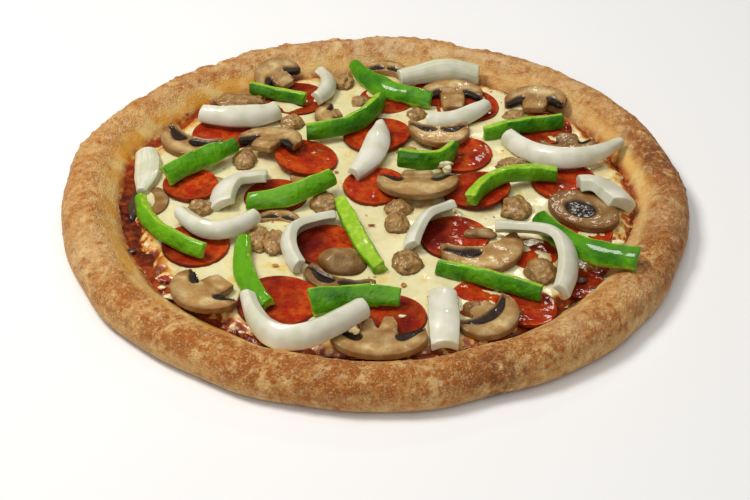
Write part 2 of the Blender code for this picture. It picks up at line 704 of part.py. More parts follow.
def main():
    """Builds the crust, then lays every piece in order, then pours the cheese round them."""
    for old in list(bpy.data.objects):
        bpy.data.objects.remove(old)
    random.seed(4)
    pizza = bpy.data.collections.new("pizza")
    bpy.context.scene.collection.children.link(pizza)
    set_in = bpy.data.collections.new("set in the cheese")
    bpy.context.scene.collection.children.link(set_in)

    crust = crust_parts()
    object_of("crust", "crust", *crust, pizza)
    object_of("sauce", "sauce", *sauce_parts(), pizza)

    pile = Pile()
    pile.points.extend(crust[0])
    pile.faces.extend(crust[1])
    plane = [
        (radius * math.cos(angle) - CENTRE[0], radius * math.sin(angle) - CENTRE[1], CHEESE_PRESSED)
        for angle, radius in (
            (a, layer_radius(a, CHEESE_INSET, 0.0, 0.0))
            for a in (2.0 * math.pi * k / RIM_STEPS for k in range(RIM_STEPS))
        )
    ]
    pile.faces.append([len(pile.points) + k for k in range(RIM_STEPS)])
    pile.points.extend(plane)

    fused = [crumble_parts(*row, seed) for seed, row in enumerate(CRUMBLES)]
    low = [kept_on_cheese(disc_outline(*row)) for row in LOW_PEPPERONI]
    low += [kept_on_cheese(slice_outline(*row)) for row in LOW_MUSHROOMS]
    for seed, outline in enumerate(low):
        points, faces = outline_solid(outline, FUSED_THICKNESS)
        fused.append(([(x, y, z + SET_IN + 0.013 * seed) for x, y, z in points], faces))
    for k, (points, faces) in enumerate(fused):
        pile.add(points, faces, underside=False)
        object_of(f"set_in_{k:02d}", "mushroom", points, faces, set_in)

    for k, row in enumerate(PEPPERONI):
        points, faces = laid_slab(pile, disc_outline(*row), PEPPERONI_THICKNESS)
        pile.add(points, faces)
        object_of(f"pepperoni_{k + 1:02d}", "pepperoni", points, faces, pizza, random.uniform(0.8, 1.2))
    for k, row in enumerate(MUSHROOMS):
        points, faces = laid_slab(pile, slice_outline(*row), SLICE_THICKNESS)
        pile.add(points, faces)
        object_of(f"mushroom_{k + 1:02d}", "mushroom", points, faces, pizza, random.uniform(0.85, 1.15))
    counts = {"onion": 0, "pepper": 0}
    for strip in STRIPS:
        counts[strip.kind] += 1
        points, faces = laid_strip(pile, strip)
        pile.add(points, faces)
        name = f"{strip.kind}_{counts[strip.kind]:02d}"
        object_of(name, strip.kind, points, faces, pizza, random.uniform(0.9, 1.1))

    cheese = object_of("cheese", "cheese", *cheese_parts(pile), pizza)
    join_all(cheese, set_in)
    cheese.data.shade_smooth()
    cheese.data.set_sharp_from_angle(angle=math.radians(35.0))


main()
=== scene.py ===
"""The looks of a whole baked pizza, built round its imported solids.

Each class below is one kind of thing on the pizza: the crust, the sauce, the cheese, and each sort of
topping. A class keeps its sizes as fields, builds its meshes in millimetres at their place in the frame, and
dresses them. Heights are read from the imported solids, so a piece lies where its solid lies.
"""

import logging
import math
from dataclasses import dataclass
from enum import Enum
from functools import partial
from typing import Any

import bmesh
import bpy
import numpy as np
from bpy.types import Material, Mesh, Node, NodeSocket, Object
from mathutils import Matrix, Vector, noise
from mathutils.bvhtree import BVHTree
from numpy import ndarray


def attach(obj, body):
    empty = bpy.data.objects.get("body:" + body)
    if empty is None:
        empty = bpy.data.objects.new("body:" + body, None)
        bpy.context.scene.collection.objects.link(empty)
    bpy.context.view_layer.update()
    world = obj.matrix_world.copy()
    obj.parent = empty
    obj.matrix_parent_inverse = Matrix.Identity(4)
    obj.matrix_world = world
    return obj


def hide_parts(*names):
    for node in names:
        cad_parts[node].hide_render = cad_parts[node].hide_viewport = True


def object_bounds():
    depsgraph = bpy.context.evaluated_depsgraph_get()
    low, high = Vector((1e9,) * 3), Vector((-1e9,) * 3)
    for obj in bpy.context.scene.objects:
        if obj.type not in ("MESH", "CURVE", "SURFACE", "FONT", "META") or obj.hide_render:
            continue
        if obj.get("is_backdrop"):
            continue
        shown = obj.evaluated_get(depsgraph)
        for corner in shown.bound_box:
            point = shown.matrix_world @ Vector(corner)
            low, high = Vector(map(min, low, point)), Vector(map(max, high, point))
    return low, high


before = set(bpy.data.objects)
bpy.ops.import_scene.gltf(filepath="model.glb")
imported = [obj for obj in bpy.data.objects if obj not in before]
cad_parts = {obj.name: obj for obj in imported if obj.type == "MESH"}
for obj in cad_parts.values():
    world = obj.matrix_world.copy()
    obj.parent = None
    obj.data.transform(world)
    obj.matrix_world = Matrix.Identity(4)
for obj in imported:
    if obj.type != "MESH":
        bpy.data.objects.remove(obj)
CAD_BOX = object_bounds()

LOG = logging.getLogger("pizza")
MM = 0.001
BODY = "root"
# The photograph's width and height in pixels.
PHOTO_SIZE = (750, 500)
# Rays that read heights start below and above every solid, in mm.
RAY_LOW, RAY_HIGH = -50.0, 90.0
# Points of the dough higher than this, in mm, lie on its top.
DOUGH_TOP = 9.0
# How far a pressed piece stays below what lies on it, in mm.
PRESS_GAP = 0.1


class Kind(Enum):
    """What a strip was cut from."""

    ONION = "onion"
    PEPPER = "pepper"


def full_turn(count: int) -> ndarray:
    """Evenly spread angles in radians, once round."""
    return np.arange(count) * 2.0 * math.pi / count


def arc_distance(angle: ndarray, centre: float) -> ndarray:
    """How far each angle in radians is from one given in degrees, in degrees."""
    return np.abs((np.degrees(angle) - centre + 180.0) % 360.0 - 180.0)


def bell(angle: ndarray, centre: float, spread: float) -> ndarray:
    """1 at an angle given in degrees, and softly less on both sides of it."""
    return np.exp(-((arc_distance(angle, centre) / spread) ** 2))


@dataclass(frozen=True)
class RimPlan:
    """Where the crust's outline and the layers inside it run, in millimetres, as in the solids."""

    radius: float = 173.2
    lobes: tuple = (
        (164, 26, 5.0), (104, 32, -7.0), (57, 18, -4.2), (69, 5, -3.0), (228, 25, 0.8), (150, 14, -2.3),
        (279, 10, 1.2), (317, 18, 2.2), (350, 13, 2.2),
    )
    ripples: tuple = ((7, 0.7, 1.0), (13, 0.5, 2.0), (22, 0.35, 0.5))
    base_width: float = 33.0
    width_swing: float = 2.0
    widest_at: float = 160.0
    swell: float = 5.0
    swell_at: float = 318.0
    swell_spread: float = 24.0
    underside: tuple = ((0.26, 0.0), (0.09, 0.7), (0.02, 3.6))
    top: tuple = (
        (0.0, 8.5), (0.03, 12.8), (0.10, 16.8), (0.20, 19.4), (0.33, 20.8), (0.48, 20.6), (0.62, 18.6),
        (0.75, 15.2), (0.86, 11.7), (0.94, 8.8), (0.985, 7.3), (1.0, 7.0),
    )
    steps: int = 72

    def outer(self, angle: ndarray) -> ndarray:
        """The crust's outer radius.

        Args:
            angle: Angles in radians.

        Returns:
            The radius at each, in mm.
        """
        radius = np.full(np.shape(angle), self.radius)
        for centre, spread, swelling in self.lobes:
            radius = radius + swelling * bell(angle, centre, spread)
        for waves, size, phase in self.ripples:
            radius = radius + size * np.sin(waves * angle + phase)
        return radius

    def width(self, angle: ndarray) -> ndarray:
        """How wide the rim is at each angle in radians."""
        width = self.base_width + self.width_swing * np.cos(angle - math.radians(self.widest_at))
        return width + self.swell * bell(angle, self.swell_at, self.swell_spread)

    def inner(self, angle: ndarray) -> ndarray:
        """The radius at which the rim ends and the floor begins."""
        return self.outer(angle) - self.width(angle)

    def centre(self) -> tuple[float, float]:
        """The middle of the outline's box, which the frame has at its origin.

        Returns:
            Its place about the rim's own middle, in mm.
        """
        angles = full_turn(self.steps)
        xs, ys = self.outer(angles) * np.cos(angles), self.outer(angles) * np.sin(angles)
        return (xs.min() + xs.max()) / 2.0, (ys.min() + ys.max()) / 2.0


RIM = RimPlan()
CENTRE = RIM.centre()


def placed(x: Any, y: Any) -> tuple[Any, Any]:
    """A point in the frame, from its distances in mm to the right of the rim's own middle and behind it."""
    return x - CENTRE[0], y - CENTRE[1]


def polar(x: Any, y: Any) -> tuple[Any, Any]:
    """The angles in radians and the radii in mm of points of the frame, about the rim's own middle."""
    return np.arctan2(y + CENTRE[1], x + CENTRE[0]), np.hypot(x + CENTRE[0], y + CENTRE[1])


def smooth_step(low: float, high: float, value: ndarray) -> ndarray:
    """0 below low, 1 above high, and a soft change between. With low above high it runs down."""
    share = np.clip((value - low) / (high - low), 0.0, 1.0)
    return share * share * (3.0 - 2.0 * share)


def soft_noise(points: ndarray, size: float, seed: float) -> ndarray:
    """Smooth noise between about -1 and 1.

    Args:
        points: Points in mm, with x, y and z along the last axis.
        size: The size of its swells in mm.
        seed: Which noise.

    Returns:
        One number a point, in the points' own arrangement.
    """
    offset = Vector((seed * 17.3, seed * 5.7, seed * 3.1))
    values = [noise.noise(Vector(p) / size + offset) for p in points.reshape(-1, 3)]
    return np.array(values).reshape(points.shape[:-1])


def round_spots(rows: tuple, x: ndarray, y: ndarray) -> ndarray:
    """Soft round spots, added up.

    Args:
        rows: Each spot's x, y, reach in mm and strength, about the rim's own middle.
        x: Distances to the right of that middle, in mm.
        y: Distances behind it.

    Returns:
        How strongly each point is marked.
    """
    total = np.zeros(np.shape(x))
    for spot_x, spot_y, reach, strength in rows:
        total = total + strength * np.exp(-(((x - spot_x) ** 2 + (y - spot_y) ** 2) / reach**2))
    return total


def neighbours(values: ndarray) -> ndarray:
    """The sum of the four neighbours of each value of a grid."""
    return sum(np.roll(values, step, axis) for axis in (0, 1) for step in (1, -1))


def rows_of(*columns: Any) -> ndarray:
    """Numbers or arrays side by side, along a new last axis."""
    return np.stack(np.broadcast_arrays(*columns), axis=-1)


def on_plane(plane: ndarray, x: Any, y: Any) -> Any:
    """The height of a plane, given by its height at the origin and its slopes, over points of the plan."""
    return plane[0] + plane[1] * x + plane[2] * y


def smooth_through(points: list, count: int) -> ndarray:
    """Evenly spread samples of a smooth curve.

    Args:
        points: The points that it passes through.
        count: How many samples.

    Returns:
        The samples, a row each.
    """
    known = np.asarray(points, float)
    chord = np.concatenate([[0.0], np.cumsum(np.linalg.norm(np.diff(known, axis=0), axis=1))])
    slopes = np.gradient(known, chord, axis=0)
    along = np.linspace(0.0, chord[-1], count)
    k = np.clip(np.searchsorted(chord, along, side="right") - 1, 0, len(known) - 2)
    span = (chord[k + 1] - chord[k])[:, None]
    s = (along - chord[k])[:, None] / span
    here = (2 * s**3 - 3 * s**2 + 1) * known[k] + (3 * s**2 - 2 * s**3) * known[k + 1]
    return here + span * ((s**3 - 2 * s**2 + s) * slopes[k] + (s**3 - s**2) * slopes[k + 1])


def linked(name: str, data: Any) -> Object:
    """A new object of the scene.

    Args:
        name: The object's name.
        data: Its mesh, curve, camera or light.

    Returns:
        The object, at the origin.
    """
    made = bpy.data.objects.new(name, data)
    bpy.context.scene.collection.objects.link(made)
    return made


def mesh_piece(name: str, points: ndarray, faces: list, marks: dict, edges: Any = ()) -> Object:
    """A smooth mesh object in the scene.

    Args:
        name: The piece's name.
        points: Its points in the frame's millimetres.
        faces: Its faces, as lists of point numbers.
        marks: Numbers for each point that its material reads, by attribute name.
        edges: Its loose edges, as pairs of point numbers.

    Returns:
        The new object, at the origin.
    """
    mesh = bpy.data.meshes.new(name)
    mesh.from_pydata((np.asarray(points) * MM).tolist(), edges, faces)
    for label, values in marks.items():
        layer = mesh.attributes.new(label, "FLOAT", "POINT")
        layer.data.foreach_set("value", np.asarray(values, np.float32).ravel())
    mesh.shade_smooth()
    mesh.update()
    return linked(name, mesh)


def evaluated(piece: Object) -> Mesh:
    """A plain mesh of what an object's modifiers make of it."""
    return bpy.data.meshes.new_from_object(piece.evaluated_get(bpy.context.evaluated_depsgraph_get()))


def closed_rings(rings: int, around: int) -> list:
    """Quads between closed rings of points, and a fan to a pole at each end.

    Args:
        rings: How many rings.
        around: Points in each. The first ring's pole and the last one's come after all the rings.

    Returns:
        The faces, facing out where the rings run counterclockwise and climb.
    """
    turn = [(i, (i + 1) % around) for i in range(around)]
    faces: list = []
    for low in range(0, (rings - 1) * around, around):
        faces.extend((low + i, low + k, low + k + around, low + i + around) for i, k in turn)
    pole, last = rings * around, (rings - 1) * around
    for i, k in turn:
        faces.extend([(pole, k, i), (pole + 1, last + i, last + k)])
    return faces


def rough_ball(subdivisions: int) -> tuple[ndarray, list]:
    """A ball of radius 1, to be pushed about.

    Args:
        subdivisions: How finely its triangles are split.

    Returns:
        Its points and its triangles.
    """
    made = bmesh.new()
    bmesh.ops.create_icosphere(made, subdivisions=subdivisions, radius=1.0)
    made.verts.index_update()
    points = np.array([v.co for v in made.verts])
    faces = [[v.index for v in f.verts] for f in made.faces]
    made.free()
    return points, faces


def dressed(piece: Object, finish: Material, slot: str, *nodes: str) -> Object:
    """Gives a finished piece its material, its body and the nodes that it stands for.

    Args:
        piece: The piece.
        finish: Its material.
        slot: The record's material slot; not used.
        nodes: The CAD nodes that it replaces.

    Returns:
        The piece.
    """
    piece.data.materials.clear()
    piece.data.materials.append(finish)
    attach(piece, BODY)
    if nodes:
        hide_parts(*nodes)
    LOG.info("%s: %d faces", piece.name, len(piece.data.polygons))
    return piece


class SolidProbe:
    """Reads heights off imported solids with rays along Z."""

    def __init__(self, names: list[str]) -> None:
        """Gathers the solids.

        Args:
            names: The CAD nodes to read.
        """
        points: list = []
        faces: list = []
        for name in names:
            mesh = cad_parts[name].data
            first = len(points)
            points.extend(v.co / MM for v in mesh.vertices)
            faces.extend([first + k for k in p.vertices] for p in mesh.polygons)
        self.tree = BVHTree.FromPolygons(points, faces)

    def under(self, x: float, y: float) -> float:
        """The lowest height over a point, or infinity."""
        hit = self.tree.ray_cast(Vector((x, y, RAY_LOW)), Vector((0.0, 0.0, 1.0)))[0]
        return hit.z if hit else math.inf

    def over(self, x: float, y: float) -> float:
        """The highest height over a point, or minus infinity."""
        hit = self.tree.ray_cast(Vector((x, y, RAY_HIGH)), Vector((0.0, 0.0, -1.0)))[0]
        return hit.z if hit else -math.inf

    def plane(self, spots: ndarray) -> ndarray:
        """The plane that fits the top of a flat slice.

        Args:
            spots: Points of the plan that lie over it.

        Returns:
            Its height at the origin and its two slopes.
        """
        rows = [(1.0, x, y, self.over(x, y)) for x, y in spots]
        rows = np.array([row for row in rows if math.isfinite(row[3])])
        return np.linalg.lstsq(rows[:, :3], rows[:, 3], rcond=None)[0]

    def press(self, piece: Object) -> None:
        """Presses a piece down where these solids lie on it.

        Args:
            piece: The piece.
        """
        for vertex in piece.data.vertices:
            limit = self.under(vertex.co.x / MM, vertex.co.y / MM) - PRESS_GAP
            if vertex.co.z / MM > limit:
                vertex.co.z = limit * MM


def hex_colour(code: str) -> tuple[float, float, float, float]:
    """Turns an sRGB hex colour to linear.

    Args:
        code: The colour, such as #FFCC00.

    Returns:
        Red, green, blue and alpha.
    """
    shares = [int(code[k : k + 2], 16) / 255.0 for k in (1, 3, 5)]
    linear = [c / 12.92 if c <= 0.04045 else ((c + 0.055) / 1.055) ** 2.4 for c in shares]
    return linear[0], linear[1], linear[2], 1.0


def add_node(tree: Any, kind: str, inputs: dict | None = None, stops: tuple = (), **settings: Any) -> Any:
    """Adds a node to a shader tree or a geometry tree.

    Args:
        tree: The node tree.
        kind: The node's type.
        inputs: Input sockets by name or number, each with a value, or with the output that feeds it, or with
            a node whose first output does.
        stops: A colour ramp's places and hex colours.
        settings: The node's own properties.

    Returns:
        The node.
    """
    node = tree.nodes.new(kind)
    for name, value in settings.items():
        setattr(node, name, value)
    for key, value in (inputs or {}).items():
        source = value.outputs[0] if isinstance(value, Node) else value
        if isinstance(source, NodeSocket):
            tree.links.new(source, node.inputs[key])
        else:
            is_hex = isinstance(value, str) and value.startswith("#")
            node.inputs[key].default_value = hex_colour(value) if is_hex else value
    for k, (place, code) in enumerate(stops):
        ramp = node.color_ramp.elements
        stop = ramp[k] if k < 2 else ramp.new(place)
        stop.position = place
        stop.color = hex_colour(code)
    return node


class Step(Enum):
    """One step of a material: its node, its settings, the inputs that it takes in order, and its output."""

    ADD = ("ShaderNodeMath", {"operation": "ADD"}, (0, 1), 0)
    SUBTRACT = ("ShaderNodeMath", {"operation": "SUBTRACT"}, (0, 1), 0)
    MULTIPLY = ("ShaderNodeMath", {"operation": "MULTIPLY"}, (0, 1), 0)
    MAXIMUM = ("ShaderNodeMath", {"operation": "MAXIMUM"}, (0, 1), 0)
    STRETCH = ("ShaderNodeMapRange", {"interpolation_type": "SMOOTHSTEP"}, (0, 1, 2), 0)
    BLEND = ("ShaderNodeMix", {"data_type": "RGBA"}, (0, 6, 7), 2)
    SHADE = ("ShaderNodeMix", {"data_type": "RGBA", "blend_type": "MULTIPLY"}, (0, 6, 7), 2)
    BUMP = ("ShaderNodeBump", {}, ("Height", "Distance", "Normal"), 0)
    NOISE = ("ShaderNodeTexNoise", {"noise_dimensions": "4D"}, ("Vector", "W", "Scale", "Detail"), 0)
    CELLS = ("ShaderNodeTexVoronoi", {}, ("Vector", "Scale"), 0)
    MARK = ("ShaderNodeAttribute", {}, (), 2)
    JOIN = ("ShaderNodeCombineXYZ", {}, (0, 1, 2), 0)
    RAMP = ("ShaderNodeValToRGB", {}, (0,), 0)

    def __init__(self, node: str, settings: dict, inputs: tuple, output: int) -> None:
        """Keeps the four parts under their names."""
        self.node, self.settings, self.inputs, self.output = node, settings, inputs, output


class ShaderBench:
    """A material under construction: its tree, its shader and the place that its patterns read."""

    def __init__(self, name: str, **shader: Any) -> None:
        """Starts a material.

        Args:
            name: The material's name.
            shader: The shader's constant sockets, with underscores for the spaces in their names.
        """
        self.material = bpy.data.materials.new(name)
        self.material.use_nodes = True
        self.tree = self.material.node_tree
        self.shader = self.tree.nodes["Principled BSDF"]
        for key, value in shader.items():
            self.shader.inputs[key.replace("_", " ").title().replace("Ior", "IOR")].default_value = value
        self.place = add_node(self.tree, "ShaderNodeTexCoord").outputs["Object"]

    def add(self, step: Step, *values: Any, **settings: Any) -> Any:
        """Adds one step to the material.

        Args:
            step: What it does.
            values: Its inputs in order: numbers, hex colours, sockets, or the names of marks on the mesh.
            settings: The node's further properties.

        Returns:
            The output socket.
        """
        inputs = dict(zip(step.inputs, values))
        for key, value in inputs.items():
            if isinstance(value, str) and not value.startswith("#"):
                inputs[key] = self.add(Step.MARK, attribute_name=value)
        return add_node(self.tree, step.node, inputs, **step.settings, **settings).outputs[step.output]

    def cloud(
        self, size: float, low: float, high: float, detail: float, seed: float, strength: Any = None
    ) -> Any:
        """Noise stretched to run from 0 to 1.

        Args:
            size: The size of its patches in mm.
            low: The noise value that gives 0.
            high: The one that gives 1.
            detail: How many finer layers it has.
            seed: Which noise.
            strength: What it is multiplied by, if anything.

        Returns:
            The output socket.
        """
        pattern = self.add(Step.NOISE, self.place, seed, 1.0 / (size * MM), detail)
        patches = self.add(Step.STRETCH, pattern, low, high)
        return patches if strength is None else self.add(Step.MULTIPLY, patches, strength)

    def finished(self, colour: Any, roughness: Any = None, normal: Any = None) -> Material:
        """Links what varies over the surface to the shader.

        Args:
            colour: The base colour's socket.
            roughness: The roughness socket, if it varies.
            normal: The last bump's socket, if there is one.

        Returns:
            The material.
        """
        self.tree.links.new(colour, self.shader.inputs["Base Color"])
        if roughness is not None:
            self.tree.links.new(roughness, self.shader.inputs["Roughness"])
        if normal is not None:
            self.tree.links.new(normal, self.shader.inputs["Normal"])
        return self.material


BLEND, MULTIPLY, BUMP = Step.BLEND, Step.MULTIPLY, Step.BUMP


@dataclass(frozen=True)
class BakedDough:
    """Baked wheat dough: dry and matt, tan where it browned, cream where flour or steam kept it pale. Its
    grain is painted darker in its pits as painted shade and lighter on its tops as painted highlight, and its
    browning on the right side also paints the shade there.
    """

    tan: str = "#D49C56"
    light: str = "#E6BA76"
    amber: str = "#BE7E38"
    golden: str = "#A65E1E"
    risen: str = "#B46426"
    blister: str = "#864416"
    scorch: str = "#6E3A20"
    floury: str = "#E8CA98"
    oil: str = "#D8983A"
    glaze: str = "#E3C27C"
    tomato: str = "#93340F"

    def material(self) -> Material:
        """Mixes the dough's colours, sheen and relief.

        Returns:
            The material.
        """
        bench = ShaderBench("baked wheat dough", roughness=0.62, ior=1.45, specular_ior_level=0.25)
        add, cloud = bench.add, bench.cloud
        colour = add(BLEND, cloud(22.0, 0.38, 0.64, 5.0, 1.0), self.tan, self.light)
        colour = add(BLEND, add(MULTIPLY, "toast_and_shade", 0.62), colour, self.amber)
        speckle = cloud(2.2, 0.42, 0.66, 5.0, 2.0)
        browned = add(MULTIPLY, add(Step.ADD, speckle, cloud(6.0, 0.44, 0.64, 5.0, 3.0)), "toast_and_shade")
        browned = add(MULTIPLY, add(Step.STRETCH, browned, 0.15, 1.3), 0.95)
        colour = add(BLEND, browned, colour, self.golden)
        broad = cloud(13.0, 0.49, 0.60, 5.0, 12.0, "toast_and_shade")
        colour = add(BLEND, add(MULTIPLY, broad, 0.95), colour, self.golden)
        colour = add(BLEND, cloud(10.0, 0.53, 0.64, 5.0, 13.0, 0.95), colour, self.light)
        spots = cloud(3.0, 0.56, 0.70, 4.0, 4.0, "toast_and_shade")
        colour = add(BLEND, add(MULTIPLY, spots, 0.7), colour, self.blister)
        dots = cloud(1.9, 0.54, 0.66, 3.0, 15.0, 0.75)
        dots = cloud(9.0, 0.40, 0.60, 2.0, 16.0, dots)
        colour = add(BLEND, dots, colour, self.risen)
        colour = add(BLEND, cloud(0.9, 0.50, 0.66, 2.0, 14.0, 0.5), colour, self.floury)
        colour = add(BLEND, cloud(4.5, 0.56, 0.70, 5.0, 5.0, 0.55), colour, self.floury)
        colour = add(BLEND, "flour", colour, self.floury)
        colour = add(BLEND, add(MULTIPLY, "blister", add(Step.ADD, "toast_and_shade", 0.6)), colour, self.risen)
        grain = add(Step.CELLS, bench.place, 1.0 / (1.7 * MM))
        # Painted shade: the dough is darkened between the grain's cells, where the bump sinks them.
        pit_shade = add(Step.STRETCH, grain, 0.35, 0.75)
        pit_shade = add(MULTIPLY, pit_shade, cloud(5.0, 0.35, 0.6, 2.0, 10.0, 0.2))
        colour = add(BLEND, pit_shade, colour, self.golden)
        # Painted highlight: the raised tops of the grain's cells are lightened towards the floury colour.
        top_highlight = add(MULTIPLY, add(Step.STRETCH, grain, 0.28, 0.05), 0.16)
        colour = add(BLEND, top_highlight, colour, self.floury)
        colour = add(BLEND, cloud(3.0, 0.35, 0.62, 4.0, 6.0, "scorch"), colour, self.scorch)
        oiled = cloud(7.0, 0.2, 0.52, 3.0, 7.0, "oil")
        creamy = add(Step.MAXIMUM, cloud(14.0, 0.40, 0.62, 2.0, 11.0), "flour")
        colour = add(BLEND, oiled, colour, add(BLEND, creamy, self.oil, self.glaze))
        red = cloud(5.0, 0.30, 0.6, 4.0, 8.0, "tomato")
        colour = add(BLEND, red, colour, self.tomato)
        rough = add(Step.SUBTRACT, 0.66, add(MULTIPLY, "oil", 0.36))
        dry = add(Step.SUBTRACT, 1.0, add(MULTIPLY, "oil", 0.7))
        normal = add(BUMP, add(MULTIPLY, grain, dry), -0.32 * MM)
        normal = add(BUMP, cloud(1.0, 0.3, 0.7, 3.0, 9.0, dry), 0.5 * MM, normal)
        return bench.finished(colour, rough, normal)


@dataclass(frozen=True)
class TomatoSauce:
    """Cooked tomato sauce: wet and orange-red, nearly black where it caramelised."""

    bright: str = "#A84A16"
    deep: str = "#74240A"
    burnt: str = "#2C0B07"

    def material(self) -> Material:
        """Mixes the sauce's colours, sheen and relief.

        Returns:
            The material.
        """
        bench = ShaderBench(
            "cooked tomato sauce", ior=1.4, coat_weight=0.35, coat_roughness=0.12, specular_ior_level=0.15
        )
        add, cloud = bench.add, bench.cloud
        colour = add(BLEND, cloud(5.0, 0.36, 0.62, 4.0, 1.0), self.bright, self.deep)
        colour = add(BLEND, cloud(4.0, 0.30, 0.55, 4.0, 2.0, "burnt"), colour, self.burnt)
        normal = add(BUMP, cloud(1.6, 0.3, 0.7, 4.0, 3.0), 0.5 * MM)
        return bench.finished(colour, cloud(6.0, 1.3, 0.1, 2.0, 4.0), normal)


@dataclass(frozen=True)
class MeltedCheese:
    """Melted mozzarella: ivory, soft and a little see-through, with yellow oil on its skin."""

    ivory: str = "#E7E1B6"
    cream: str = "#DFD8A4"
    butter: str = "#E4C867"
    browned: str = "#CE8A30"
    edge: tuple = ((0.0, "#EADFAE"), (0.3, "#DCA648"), (0.62, "#B4601C"), (1.0, "#74280C"))

    def material(self) -> Material:
        """Mixes the cheese's colours, sheen and relief.

        Returns:
            The material.
        """
        bench = ShaderBench(
            "melted mozzarella", ior=1.45, subsurface_weight=0.25, subsurface_scale=0.003, coat_weight=0.4,
            coat_roughness=0.15,
        )
        add, cloud = bench.add, bench.cloud
        bench.shader.inputs["Subsurface Radius"].default_value = (1.0, 0.75, 0.4)
        colour = add(BLEND, cloud(16.0, 0.35, 0.66, 2.0, 1.0), self.ivory, self.cream)
        oily = cloud(10.0, 0.54, 0.72, 2.0, 2.0)
        colour = add(BLEND, add(MULTIPLY, oily, 0.7), colour, self.butter)
        colour = add(BLEND, cloud(5.0, 0.36, 0.62, 4.0, 3.0, "stain"), colour, self.browned)
        brink = cloud(4.5, 0.34, 0.56, 3.0, 5.0, "brink")
        seared = add(Step.RAMP, brink, stops=self.edge)
        colour = add(BLEND, add(Step.STRETCH, brink, 0.0, 0.3), colour, seared)
        normal = add(BUMP, cloud(6.0, 0.3, 0.7, 1.0, 4.0), 0.35 * MM)
        return bench.finished(colour, add(Step.SUBTRACT, 0.38, add(MULTIPLY, oily, 0.2)), normal)


@dataclass(frozen=True)
class CuredSausage:
    """Pepperoni: cured, paprika-red meat with pale fat specks, shining with its own oil."""

    red: str = "#B02A0A"
    orange: str = "#C85014"
    maroon: str = "#601006"
    fat: str = "#C06030"

    def material(self) -> Material:
        """Mixes the pepperoni's colours, sheen and relief.

        Returns:
            The material.
        """
        bench = ShaderBench(
            "cured paprika sausage", ior=1.45, coat_weight=0.3, coat_roughness=0.1, specular_ior_level=0.06
        )
        add, cloud = bench.add, bench.cloud
        colour = add(BLEND, cloud(7.0, 0.38, 0.64, 4.0, 1.0), self.red, self.orange)
        colour = add(BLEND, add(MULTIPLY, cloud(2.4, 0.44, 0.7, 4.0, 2.0), 0.55), colour, self.maroon)
        colour = add(BLEND, "dark", colour, self.maroon)
        specks = add(Step.CELLS, bench.place, 1.0 / (2.6 * MM))
        fat = add(MULTIPLY, add(Step.STRETCH, specks, 0.30, 0.12), 0.3)
        fat = cloud(5.0, 0.45, 0.6, 2.0, 3.0, fat)
        colour = add(BLEND, fat, colour, self.fat)
        colour = add(BLEND, "edge", colour, self.orange)
        normal = add(BUMP, cloud(1.8, 0.3, 0.7, 4.0, 4.0), 0.35 * MM)
        return bench.finished(colour, cloud(4.0, 1.4, -0.3, 3.0, 5.0), normal)


@dataclass(frozen=True)
class GroundSausage:
    """Browned ground pork: grey-brown crumbly meat with a greasy shine."""

    brown: str = "#8A6432"
    tan: str = "#B0884A"
    crust: str = "#56381A"

    def material(self) -> Material:
        """Mixes the crumbles' colours, sheen and relief.

        Returns:
            The material.
        """
        bench = ShaderBench("browned ground pork", ior=1.45, coat_weight=0.45, coat_roughness=0.15)
        add, cloud = bench.add, bench.cloud
        colour = add(BLEND, cloud(3.6, 0.36, 0.64, 5.0, 1.0), self.brown, self.tan)
        colour = add(BLEND, cloud(2.0, 0.55, 0.72, 4.0, 2.0), colour, self.crust)
        colour = add(BLEND, add(MULTIPLY, "low", 0.7), colour, self.crust)
        normal = add(BUMP, add(Step.CELLS, bench.place, 1.0 / (1.3 * MM)), -0.3 * MM)
        return bench.finished(colour, cloud(2.0, 1.2, -0.2, 3.0, 3.0), normal)


@dataclass(frozen=True)
class MushroomFlesh:
    """A cooked brown mushroom: tan moist flesh on the cut face, brown skin round the cap, dark gills."""

    flesh: str = "#B8925A"
    pale: str = "#DCC48E"
    damp: str = "#865A2C"
    skin: str = "#784A1C"
    gill: str = "#1A0F0D"

    def material(self) -> Material:
        """Mixes the mushroom's colours, sheen and relief.

        Returns:
            The material.
        """
        bench = ShaderBench(
            "cooked brown mushroom", ior=1.4, subsurface_weight=0.1, subsurface_scale=0.003, coat_weight=0.35,
            coat_roughness=0.14, specular_ior_level=0.15,
        )
        add, cloud = bench.add, bench.cloud
        colour = add(BLEND, cloud(8.0, 0.38, 0.66, 3.0, 1.0), self.flesh, self.pale)
        colour = add(BLEND, "damp", colour, self.damp)
        colour = add(BLEND, cloud(2.5, 0.5, 0.75, 4.0, 2.0, 0.35), colour, self.damp)
        colour = add(BLEND, "skin", colour, self.skin)
        colour = add(BLEND, "gill", colour, self.gill)
        colour = add(Step.SHADE, 1.0, colour, "tone")
        normal = add(BUMP, cloud(1.5, 0.3, 0.7, 4.0, 3.0), 0.25 * MM)
        return bench.finished(colour, cloud(5.0, 1.5, 0.0, 3.0, 4.0), normal)


